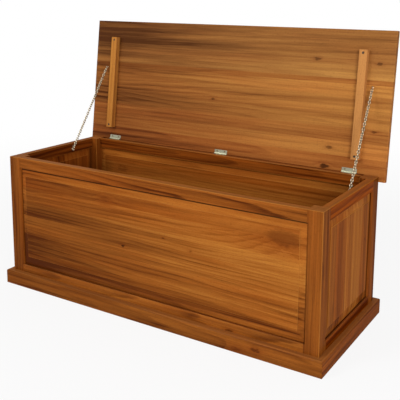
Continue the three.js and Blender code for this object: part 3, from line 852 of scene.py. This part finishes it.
class CHEST_OT_lid(bpy.types.Operator):
    """Dresses the three boards of the lid"""
    bl_idname = "chest.lid"
    bl_label = "Lid Boards"

    def execute(self, context):
        for turn, (row, boards) in enumerate(LID_BOARDS.items()):
            wooden(f"lid_{row}_board", "lid", "lid_wood", LID, boards, 9 * turn + 6,
                   glued=LID_GLUED[row], tilt=0.03, fade=LID_PAINTED_FALLOFF, **LID_LOOKS[row])
        return {"FINISHED"}


class CHEST_OT_battens(bpy.types.Operator):
    """Dresses the two lighter battens under the lid"""
    bl_idname = "chest.battens"
    bl_label = "Battens"

    def execute(self, context):
        for turn, (side, (tone, tint)) in enumerate(BATTENS.items()):
            boards = [(0, tone, 0.08, 0.05, 0)]
            wooden(f"{side}_batten", "lid", "batten_wood", BATTEN, boards, 4 * turn + 8,
                   tint=tint)
        return {"FINISHED"}


# Hinges, drawn with the pin along X through the origin and the lid shut
HINGE = SimpleNamespace(
    half=25 * MM, width=12.5 * MM, leaf=1.5 * MM, face=0.5 * MM, knuckle=3 * MM, pin=1.4 * MM,
    seam=0.3 * MM, corner=1.6 * MM, ease=0.25 * MM, bore_play=0.1 * MM, screw=15 * MM,
    screw_back=7.75 * MM, hole=3.2 * MM, hole_depth=4 * MM)
PIN_HEAD = [(0, -0.7 * MM), (1.2 * MM, -0.5 * MM), (1.9 * MM, 0), (1.9 * MM, 0.15 * MM),
            (HINGE.pin, 0.16 * MM)]
LEAF_SCREW = SimpleNamespace(sink=1.8 * MM, shank=1.5 * MM, length=14 * MM)
BATTEN_SCREW = SimpleNamespace(sink=2.6 * MM, shank=2 * MM, length=31 * MM)
HINGE_PLACES = {side: middle_of(f"{side}_hinge_pin").x for side in ("left", "middle", "right")}
TUBE_SIDES = 40
CORNER_STEPS = 5
CUTTER_EASE = 0.01 * MM
LIE_ALONG_X = Matrix.Rotation(QUARTER, 4, "Y")
TURN_OVER = Matrix.Rotation(math.pi, 4, "X")
UNTURNED = Matrix.Identity(4)


def leaf_plate(is_lid):
    """The flat of a leaf, with its two free corners rounded."""
    outline = [(HINGE.half, 0), (-HINGE.half, 0)]
    for side, first in ((-1, math.pi), (1, 3 * QUARTER)):
        for step in range(CORNER_STEPS + 1):
            angle = first + step * QUARTER / CORNER_STEPS
            outline.append((side * (HINGE.half - HINGE.corner) + HINGE.corner * math.cos(angle),
                            HINGE.corner - HINGE.width + HINGE.corner * math.sin(angle)))
    low = HINGE.face if is_lid else -HINGE.face - HINGE.leaf
    work = bmesh.new()
    base = work.faces.new([work.verts.new((x, y, low)) for x, y in outline])
    raised = bmesh.ops.extrude_face_region(work, geom=[base])
    lifted = [item for item in raised["geom"] if isinstance(item, bmesh.types.BMVert)]
    bmesh.ops.translate(work, verts=lifted, vec=(0, 0, HINGE.leaf))
    bmesh.ops.recalc_face_normals(work, faces=work.faces)
    return work


def hinge_leaf(is_lid, material):
    """A leaf with its knuckles, its bore and two countersunk holes."""
    third = 2 * HINGE.half / 3
    inner, outer = [0], [-third, third]
    own, other = (inner, outer) if is_lid else (outer, inner)
    tools = []

    def add(work, operation, move):
        mesh = as_mesh("tool", work, move)
        tools.append((new_object("tool", mesh, material), operation))

    for x in own:
        tube = rounded_rod(HINGE.knuckle, third - HINGE.seam, HINGE.ease, TUBE_SIDES)
        add(tube, "UNION", Matrix.Translation((x, 0, 0)) @ LIE_ALONG_X)
    for x in other:
        tube = rounded_rod(
            HINGE.knuckle + HINGE.seam, third + HINGE.seam, CUTTER_EASE, TUBE_SIDES)
        add(tube, "DIFFERENCE", Matrix.Translation((x, 0, 0)) @ LIE_ALONG_X)
    bore = rounded_rod(HINGE.pin + HINGE.bore_play, 4 * HINGE.half, CUTTER_EASE, TUBE_SIDES)
    add(bore, "DIFFERENCE", LIE_ALONG_X)
    face, over = (HINGE.face, TURN_OVER) if is_lid else (-HINGE.face, UNTURNED)
    hole = [(0, -HINGE.hole_depth), (LEAF_SCREW.shank, -HINGE.hole_depth),
            (LEAF_SCREW.shank, -LEAF_SCREW.sink), (HINGE.hole, 0), (HINGE.hole, MM), (0, MM)]
    for x in (-HINGE.screw, HINGE.screw):
        add(lathe(hole, TUBE_SIDES), "DIFFERENCE",
            Matrix.Translation((x, -HINGE.screw_back, face)) @ over)
    plate = new_object("leaf", as_mesh("leaf", leaf_plate(is_lid)), material)
    return carved(plate, tools)


class CHEST_OT_hinges(bpy.types.Operator):
    """Makes the leaves and pins of the three butt hinges"""
    bl_idname = "chest.hinges"
    bl_label = "Hinges"

    def execute(self, context):
        metal = context.scene.blanket_chest.metal
        finish = metal_finish("hinge_plating", metal.hinge, metal.roughness, 0.35)
        leaves = {"case": hinge_leaf(False, finish), "lid": hinge_leaf(True, finish)}
        pin = mirrored([(radius, height - HINGE.half) for radius, height in PIN_HEAD])
        for side, x in HINGE_PLACES.items():
            shift = Matrix.Translation(PIN_LINE + Vector((x, 0, 0)))
            for owner, leaf in leaves.items():
                mesh = leaf.data.copy()
                mesh.transform(shift @ LID_TURN if owner == "lid" else shift)
                smooth_over(mesh, METAL_SMOOTH)
                name = f"{side}_hinge_{owner}_leaf"
                obj = new_object(f"{name}_plated", mesh, finish)
                seat(obj, "lid" if owner == "lid" else "chest", "hinge_metal", name)
            mesh = as_mesh("pin", lathe(pin, TUBE_SIDES), shift @ LIE_ALONG_X)
            obj = new_object(f"{side}_hinge_pin_domed", mesh, finish)
            seat(obj, "chest", "screw_metal", f"{side}_hinge_pin")
        for leaf in leaves.values():
            bpy.data.objects.remove(leaf)
        return {"FINISHED"}


# Screws and screw eyes
SCREW_SIDES = 28
THREAD_RIDGES = 9
RIM = 0.3 * MM
# Shares of a screw's shank, of its thread's pitch and of its head
ROOT, TIP, RISE = 0.72, 0.35, 0.45
CROSS_REACH, CROSS_HALF, CROSS_DEPTH, CROSS_TAPER = 0.6, 0.16, 0.42, 0.6


def threaded(shank, root, first, last, ridges, rise):
    """The ridges of a thread from the first height to the last, as part of a lathe's profile."""
    profile = []
    for ridge in range(ridges):
        height = first + (last - first) * ridge / ridges
        profile += [(root, height), (shank, height + rise)]
    return profile


def screw_master(name, head, screw, material):
    """A countersunk, cross-recessed screw, its head's face at the origin and its point down."""
    shank, root = screw.shank, screw.shank * ROOT
    first, last = 1.6 * shank - screw.length, -screw.sink - 2 * shank
    rise = (last - first) / THREAD_RIDGES * RISE
    profile = [(0, -screw.length), (shank * TIP, shank - screw.length)]
    profile += threaded(shank, root, first, last, THREAD_RIDGES, rise)
    profile += [(root, last), (shank, last + 0.2 * MM), (shank, -screw.sink), (head, -RIM),
                (head - 0.12 * MM, 0), (0, 0.05 * MM)]
    body = new_object(name, as_mesh(name, lathe(profile, SCREW_SIDES)), material)
    reach, half, deep = head * CROSS_REACH, head * CROSS_HALF, head * CROSS_DEPTH
    middle = Matrix.Translation((0, 0, (MM - deep) / 2))
    tools = []
    for x, y in ((reach, half), (half, reach)):
        work = bmesh.new()
        bmesh.ops.create_cube(
            work, size=1, matrix=middle @ Matrix.Diagonal((2 * x, 2 * y, MM + deep, 1)))
        for vertex in work.verts:
            if vertex.co.z < 0:
                vertex.co.xy *= CROSS_TAPER
        tools.append((new_object("recess", as_mesh("recess", work), material), "DIFFERENCE"))
    carved(body, tools)
    smooth_over(body.data, METAL_SMOOTH)
    body.hide_render = True
    return body


def screw_row_tree():
    """Screws in a row, each turned about its own axis by chance."""
    sockets = {"Screw": "Object", "Start": "Vector", "Step": "Vector", "Count": "Int",
               "Turn": "Vector", "Seed": "Int", "Material": "Material"}
    tree, given = new_tree("Row of Screws", sockets)
    screw = given["Screw"].node(
        "GeometryNodeObjectInfo", None, {"Object": given["Screw"]}, "Geometry")
    row = screw.node("GeometryNodeMeshLine", {"mode": "OFFSET"}, {
        "Count": given["Count"], "Start Location": given["Start"], "Offset": given["Step"]})
    spin = screw.node("FunctionNodeRandomValue", {"data_type": "FLOAT"}, {
        2: 0.0, 3: math.pi, "Seed": given["Seed"]}, 1)
    own = screw.node("ShaderNodeCombineXYZ", None, {2: spin})
    turned = screw.node("FunctionNodeRotateRotation", {"rotation_space": "LOCAL"}, {
        0: given["Turn"], 1: own})
    rows = screw.node("GeometryNodeInstanceOnPoints", None, {
        "Points": row, "Instance": screw, "Rotation": turned})
    return end_tree(tree, rows, given["Material"])


def head_place(node, turn):
    """The middle of a screw's head, read from its node. Its point is turned down."""
    low, high = box_in(node, turn)
    return turn @ Vector((*((low + high) / 2).xy, high.z))


class CHEST_OT_screws(bpy.types.Operator):
    """Sets the screws of the hinge leaves and the battens in rows"""
    bl_idname = "chest.screws"
    bl_label = "Screws"

    def execute(self, context):
        settings = context.scene.blanket_chest
        metal, fittings = settings.metal, settings.fittings
        plated = metal_finish("screw_plating", metal.screw, metal.roughness, 0.6)
        bronzed = metal_finish("batten_screw_bronzing", metal.batten_screw, 0.45, 0.5)
        small = screw_master(
            "leaf_screw_master", fittings.leaf_screw_head, LEAF_SCREW, plated)
        large = screw_master(
            "batten_screw_master", fittings.batten_screw_head, BATTEN_SCREW, bronzed)
        tree = screw_row_tree()
        under_lid = LID_TURN @ TURN_OVER
        leaf_ends, batten_ends = "ab", ("rear_screw", "front_screw")
        rows = []
        for side in HINGE_PLACES:
            rows.append((f"{side}_case_leaf_screw", leaf_ends, small, plated, UNTURNED, "chest"))
            rows.append((f"{side}_lid_leaf_screw", leaf_ends, small, plated, under_lid, "lid"))
        for side in BATTENS:
            rows.append((f"{side}_batten", batten_ends, large, bronzed, under_lid, "lid"))
        for seed, (stem, ends, master, finish, turn, body) in enumerate(rows):
            nodes = [f"{stem}_{end}" for end in ends]
            first, last = (head_place(node, turn) for node in nodes)
            obj = grown(f"{stem}s_turned", tree, {
                "Screw": master, "Start": first, "Step": last - first, "Count": len(nodes),
                "Turn": turn.to_euler(), "Seed": seed, "Material": finish})
            seat(obj, body, "screw_metal", *nodes)
        for master in (small, large):
            bpy.data.objects.remove(master)
        return {"FINISHED"}


EYE = SimpleNamespace(
    ring=3.4 * MM, wire=1 * MM, bite=12 * MM, inset=10 * MM, below=9 * MM, shank=1.15 * MM,
    root=0.8625 * MM, collar=1.1 * MM, tail=1.3 * MM, tip=1.5 * MM, point=1.2 * MM, rise=0.6 * MM,
    inside=0.35, bend=math.radians(24), gap=math.radians(30))
EYE_STEPS = 40
EYE_RIDGES = 8
WIRE_STEPS = 5
CHAIN_SIDES = {"left": -1, "right": 1}


def swept(name, points, radius):
    """A round wire along points, closed at both ends."""
    line = bpy.data.curves.new(name, "CURVE")
    line.dimensions = "3D"
    line.bevel_depth = radius
    line.bevel_resolution = WIRE_STEPS
    line.use_fill_caps = True
    spline = line.splines.new("POLY")
    spline.points.add(len(points) - 1)
    for point, place in zip(spline.points, points):
        point.co = (*place, 1)
    obj = linked(name, line)
    mesh = evaluated(obj)
    bpy.data.objects.remove(obj)
    bpy.data.curves.remove(line)
    return mesh


def screw_eye(name, stem, is_aside, place, material):
    """A bent wire eye: its ring stands in the XZ plane with its lowest point at the origin, and its
    shank leaves along +Z or, turned aside, along +X. The thread is turned into the shank."""
    ring, shank = EYE.ring, EYE.shank
    away = 0 if is_aside else QUARTER
    centre = Vector((0, 0, ring))

    def outwards(angle, reach):
        return centre + Vector((math.cos(angle), 0, math.sin(angle))) * reach

    points = [outwards(away, ring + stem * EYE.inside), outwards(away, ring + EYE.tail)]
    sweep = math.tau - EYE.gap - EYE.bend
    for step in range(EYE_STEPS + 1):
        points.append(outwards(away + EYE.bend + sweep * step / EYE_STEPS, ring))
    start, end = ring + EYE.collar, ring + stem
    profile = [(0, start), (shank, start + RIM)]
    profile += threaded(shank, EYE.root, end - EYE.bite, end - EYE.tip, EYE_RIDGES, EYE.rise)
    profile += [(shank / 2, end - EYE.point), (0, end)]
    lie = LIE_ALONG_X if is_aside else UNTURNED
    stalk = as_mesh(name, lathe(profile, SCREW_SIDES), Matrix.Translation(centre) @ lie)
    work = bmesh.new()
    for part in (swept(name, points, EYE.wire), stalk):
        work.from_mesh(part)
        bpy.data.meshes.remove(part)
    return new_object(name, as_mesh(name, work, place), material)


def chain_line(side):
    """The foot of a chain, its fold, and the way it runs from one to the other at rest."""
    foot, fold = (Vector(joint(f"{side}_chain_{end}")["pos_m"]) for end in ("foot", "fold"))
    return foot, fold, (fold - foot).normalized()


def lid_eye_bottom(side):
    """The lowest point of the lid eye's ring, at the middle of its wire, with the lid shut."""
    low, high = box_in(f"{side}_lid_eye", LID_PLACE)
    return Vector((*((low + high) / 2).xy, low.z + EYE.wire))


class CHEST_OT_eyes(bpy.types.Operator):
    """Makes the screw eyes in the case and in the lid"""
    bl_idname = "chest.eyes"
    bl_label = "Screw Eyes"

    def execute(self, context):
        metal = context.scene.blanket_chest.metal
        finish = metal_finish("eye_plating", metal.chain, metal.roughness, 0.7)
        for side, sign in CHAIN_SIDES.items():
            foot, _, way = chain_line(side)
            half_swing = math.radians(joint(f"{side}_chain_foot")["range_deg"][1]) / 2
            lean = math.atan2(way.z, way.y) + half_swing
            swing = Matrix.Rotation(lean + QUARTER, 4, "X")
            outwards = Matrix.Rotation(math.pi if sign < 0 else 0, 4, "Z")
            eyes = (("case", "chest", EYE.inset - EYE.ring,
                     Matrix.Translation(foot) @ swing @ outwards),
                    ("lid", "lid", EYE.below - 2 * EYE.ring,
                     LID_PLACE @ Matrix.Translation(lid_eye_bottom(side))))
            for owner, body, neck, place in eyes:
                node = f"{side}_{owner}_eye"
                obj = screw_eye(f"{node}_bent", neck + EYE.bite, owner == "case", place, finish)
                seat(obj, body, "screw_metal", node)
        return {"FINISHED"}


# The check chains
LINK_STEPS = 24
LINK_SIDES = 8
OPEN_SHARE = 0.62
# Where along a link the painted shade at its ends begins and where it is full.
OVERLAP_SHADE_REACH = (0.38, 0.64)


def bent_link(given, stretch, is_open):
    """One link: a ring drawn out along Z and bent from round wire, in the YZ plane."""
    start = given["Half Width"]
    ring = start.node("GeometryNodeCurvePrimitiveCircle", None, {
        "Resolution": LINK_STEPS, "Radius": given["Half Width"]})
    if is_open:
        ring = start.node("GeometryNodeTrimCurve", None, {0: ring, "Start": 0.0, "End": OPEN_SHARE})
    place = start.node("GeometryNodeInputPosition")
    parts = start.node("ShaderNodeSeparateXYZ", None, {0: place})
    x, y = parts.output(0), parts.output(1)
    moved = start.node("ShaderNodeCombineXYZ", None, {1: x, 2: y + y.to("SIGN") * stretch})
    ring = start.node("GeometryNodeSetPosition", None, {"Geometry": ring, "Position": moved})
    wire = start.node("GeometryNodeCurvePrimitiveCircle", None, {
        "Resolution": LINK_SIDES, "Radius": given["Wire"]})
    bent = start.node("GeometryNodeCurveToMesh", None, {
        "Curve": ring, "Profile Curve": wire, "Fill Caps": True})
    height = start.node(
        "ShaderNodeSeparateXYZ", None, {0: start.node("GeometryNodeInputPosition")}, 2)
    # Painted shade: the ends of the link, where the next links overlap it, are marked to be
    # darkened.
    rub = between(height.to("ABSOLUTE") / (stretch + given["Half Width"]), *OVERLAP_SHADE_REACH)
    bent = start.node("GeometryNodeStoreNamedAttribute", {"data_type": "FLOAT"}, {
        0: bent, "Name": "rub", "Value": rub})
    return start.node("GeometryNodeSetShadeSmooth", None, {0: bent, "Shade Smooth": True})


def chain_tree():
    """A run of links, every other one turned a quarter, that twists by half a turn from end to end.
    Its first link is longer where it joins the other half, and its last is open where it hangs on
    the lid's eye."""
    sockets = {"Count": "Int", "Pitch": "Float", "Overlap": "Float", "Half Width": "Float",
               "Wire": "Float", "First Extra": "Float", "Open Links": "Int",
               "Quarter Start": "Int", "Start": "Vector", "Turn": "Vector",
               "Material": "Material"}
    tree, given = new_tree("Run of Links", sockets)
    count, pitch, extra = given["Count"], given["Pitch"], given["First Extra"]
    half = (pitch + given["Overlap"]) * 0.5
    stretch = half - given["Half Width"]
    index = count.node("GeometryNodeInputIndex")
    after_first = index.to("MINIMUM", 1)
    along = index * pitch + half + extra * (after_first * 0.5 + 0.5)
    spots = count.node("ShaderNodeCombineXYZ", None, {2: along})
    row = count.node("GeometryNodePoints", None, {0: count, "Position": spots})
    quarter = (index + given["Quarter Start"]).to("FLOORED_MODULO", 2)
    twist = index / (count - 1) * math.pi
    turned = count.node("ShaderNodeCombineXYZ", None, {2: quarter * QUARTER + twist})
    last = index.to("COMPARE", count - 1) * given["Open Links"]
    first = index.to("COMPARE", 0)
    kinds = [(first, bent_link(given, stretch + extra * 0.5, False)),
             (last, bent_link(given, stretch, True)),
             (1 - first - last, bent_link(given, stretch, False))]
    runs = [count.node("GeometryNodeInstanceOnPoints", None, {
        "Points": row, "Selection": choice, "Instance": shape, "Rotation": turned})
            for choice, shape in kinds]
    whole = count.node("GeometryNodeJoinGeometry", None, {0: runs})
    placed = whole.node("GeometryNodeTransform", None, {
        0: whole, "Translation": given["Start"], "Rotation": given["Turn"]})
    return end_tree(tree, placed, given["Material"])


class CHEST_OT_chains(bpy.types.Operator):
    """Makes the two check chains, each in the two halves that fold as the lid shuts"""
    bl_idname = "chest.chains"
    bl_label = "Check Chains"

    def execute(self, context):
        settings = context.scene.blanket_chest
        fittings, metal = settings.fittings, settings.metal
        # The chain links get painted shade at their ends, where they overlap.
        finish = metal_finish(
            "chain_plating", metal.chain, metal.roughness * 0.8, 0.2, painted_overlap_shade=0.8)
        tree = chain_tree()
        half_width, weld = fittings.link_half_width, fittings.link_weld
        for side in CHAIN_SIDES:
            foot, fold, way = chain_line(side)
            across = (ALONG_X - way * way.x).normalized()
            basis = Matrix((across, way.cross(across), way)).transposed()
            end = LID_PLACE @ lid_eye_bottom(side)
            shared = {
                "Overlap": weld, "Half Width": half_width, "Wire": fittings.link_wire,
                "Turn": basis.to_euler(), "Material": finish}
            lower = {
                "Count": fittings.lower_links, "Start": foot - way * half_width,
                "Pitch": ((fold - foot).length + 2 * half_width - weld) / fittings.lower_links,
                "First Extra": 0.0, "Open Links": 0, "Quarter Start": 0}
            upper_length = (end - fold).length + half_width - weld - fittings.joining_extra
            upper = {
                "Count": fittings.upper_links, "Start": fold,
                "Pitch": upper_length / fittings.upper_links,
                "First Extra": fittings.joining_extra, "Open Links": 1, "Quarter Start": 1}
            for half, values in (("lower", lower), ("upper", upper)):
                body = f"{side}_chain_{half}"
                obj = grown(f"{body}_links", tree, {**shared, **values})
                seat(obj, body, "chain_metal", f"{body}_half")
        return {"FINISHED"}


# The stage
FLOOR_SIZE = 14
FLOOR_GLOW = 0.87
GLOW_REACH = (0.9, 3.2)
LAMPS = {"key": ((-2.2, -4.2, 3.3), 2.0), "fill": ((2.7, -2.7, 1.3), 1.6),
         "top": ((0.4, 1.6, 3.4), 2.4)}
SENSOR = 36
AIM = Vector((0, 0, 0.35))
WHITE = (1, 1, 1, 1)


def seen_directly(start):
    """1 where a ray comes from the camera, from metal or through glass, and 0 where it lights."""
    rays = start.node("ShaderNodeLightPath")
    seen = rays.output("Is Camera Ray")
    for kind in ("Is Glossy Ray", "Is Transmission Ray"):
        seen = seen.to("MAXIMUM", rays.output(kind))
    return seen


class CHEST_OT_stage(bpy.types.Operator):
    """Sets up the camera, the floor, the room's light and the lamps"""
    bl_idname = "chest.stage"
    bl_label = "Stage"

    def execute(self, context):
        scene = context.scene
        studio = scene.blanket_chest.studio
        scene.view_settings.view_transform = "Standard"
        self.add_camera(scene, studio)
        self.add_floor(studio)
        self.add_room(scene, studio)
        for name, (place, size) in LAMPS.items():
            self.add_lamp(f"{name}_lamp", place, size, getattr(studio, name))
        return {"FINISHED"}

    def add_camera(self, scene, studio):
        data = bpy.data.cameras.new("camera")
        data.lens = studio.lens
        data.sensor_width = SENSOR
        data.shift_x, data.shift_y = studio.shift
        turn = Matrix.Rotation(studio.yaw, 4, "Z")
        dip = Matrix.Rotation(QUARTER - studio.dip, 4, "X")
        roll = Matrix.Rotation(studio.roll, 4, "Z")
        scene.camera = linked("camera", data)
        scene.camera.matrix_world = Matrix.Translation(studio.camera_place) @ turn @ dip @ roll

    def add_floor(self, studio):
        material, start, shader = new_finish("floor_paper")
        start.fill(shader, {
            "Base Color": (*studio.floor, 1), "Roughness": 0.9, "Specular IOR Level": 0.2})
        glow = start.node("ShaderNodeEmission", None, {"Color": WHITE, "Strength": 1})
        place = start.node("ShaderNodeTexCoord", None, None, "Object")
        away = between(place.vector("LENGTH", (0, 0, 0), "Value"), *GLOW_REACH)
        surface = start.node("ShaderNodeMixShader", None, {
            0: seen_directly(start) * (away * (1 - FLOOR_GLOW) + FLOOR_GLOW),
            1: Wire(start.tree, shader.outputs[0]), 2: glow})
        output = next(node for node in start.tree.nodes if node.type == "OUTPUT_MATERIAL")
        start.fill(output, {"Surface": surface})
        work = bmesh.new()
        bmesh.ops.create_grid(work, x_segments=1, y_segments=1, size=FLOOR_SIZE / 2)
        new_object("floor", as_mesh("floor", work), material)

    def add_room(self, scene, studio):
        world = bpy.data.worlds.new("room")
        scene.world = world
        world.use_nodes = True
        world.node_tree.nodes.clear()
        start = Wire(world.node_tree)
        strength = seen_directly(start) * (1 - studio.sky) + studio.sky
        light = start.node("ShaderNodeBackground", None, {"Color": WHITE, "Strength": strength})
        start.node("ShaderNodeOutputWorld", None, {"Surface": light})

    def add_lamp(self, name, place, size, power):
        data = bpy.data.lights.new(name, "AREA")
        data.shape = "DISK"
        data.size = size
        data.energy = power
        turn = (AIM - Vector(place)).to_track_quat("-Z", "Y").to_matrix().to_4x4()
        linked(name, data).matrix_world = Matrix.Translation(place) @ turn


class CHEST_PT_makers(bpy.types.Panel):
    """Lists what makes the chest, piece by piece"""
    bl_idname = "CHEST_PT_makers"
    bl_label = "Blanket Chest"
    bl_space_type = "VIEW_3D"
    bl_region_type = "UI"
    bl_category = "Chest"

    def draw(self, context):
        for maker in MAKERS:
            self.layout.operator(maker.bl_idname)
        settings = context.scene.blanket_chest
        for group in (settings.timber, settings.metal, settings.fittings, settings.studio):
            box = self.layout.box()
            for name in group.__annotations__:
                box.prop(group, name)


MAKERS = (
    CHEST_OT_stage, CHEST_OT_posts, CHEST_OT_rails, CHEST_OT_panels, CHEST_OT_plinth,
    CHEST_OT_bottom, CHEST_OT_lid, CHEST_OT_battens, CHEST_OT_hinges, CHEST_OT_screws,
    CHEST_OT_eyes, CHEST_OT_chains,
)
CLASSES = (
    ChestTimber, ChestMetal, ChestFittings, ChestStudio, ChestSettings, *MAKERS,
    CHEST_PT_makers,
)


def register():
    for one in CLASSES:
        bpy.utils.register_class(one)
    bpy.types.Scene.blanket_chest = PointerProperty(type=ChestSettings)


def unregister():
    del bpy.types.Scene.blanket_chest
    for one in reversed(CLASSES):
        bpy.utils.unregister_class(one)


def main():
    register()
    bpy.ops.chest.stage()
    bpy.ops.chest.posts()
    bpy.ops.chest.rails()
    bpy.ops.chest.panels()
    bpy.ops.chest.plinth()
    bpy.ops.chest.bottom()
    bpy.ops.chest.lid()
    bpy.ops.chest.battens()
    bpy.ops.chest.hinges()
    bpy.ops.chest.screws()
    bpy.ops.chest.eyes()
    bpy.ops.chest.chains()


if __name__ == "__main__":
    main()
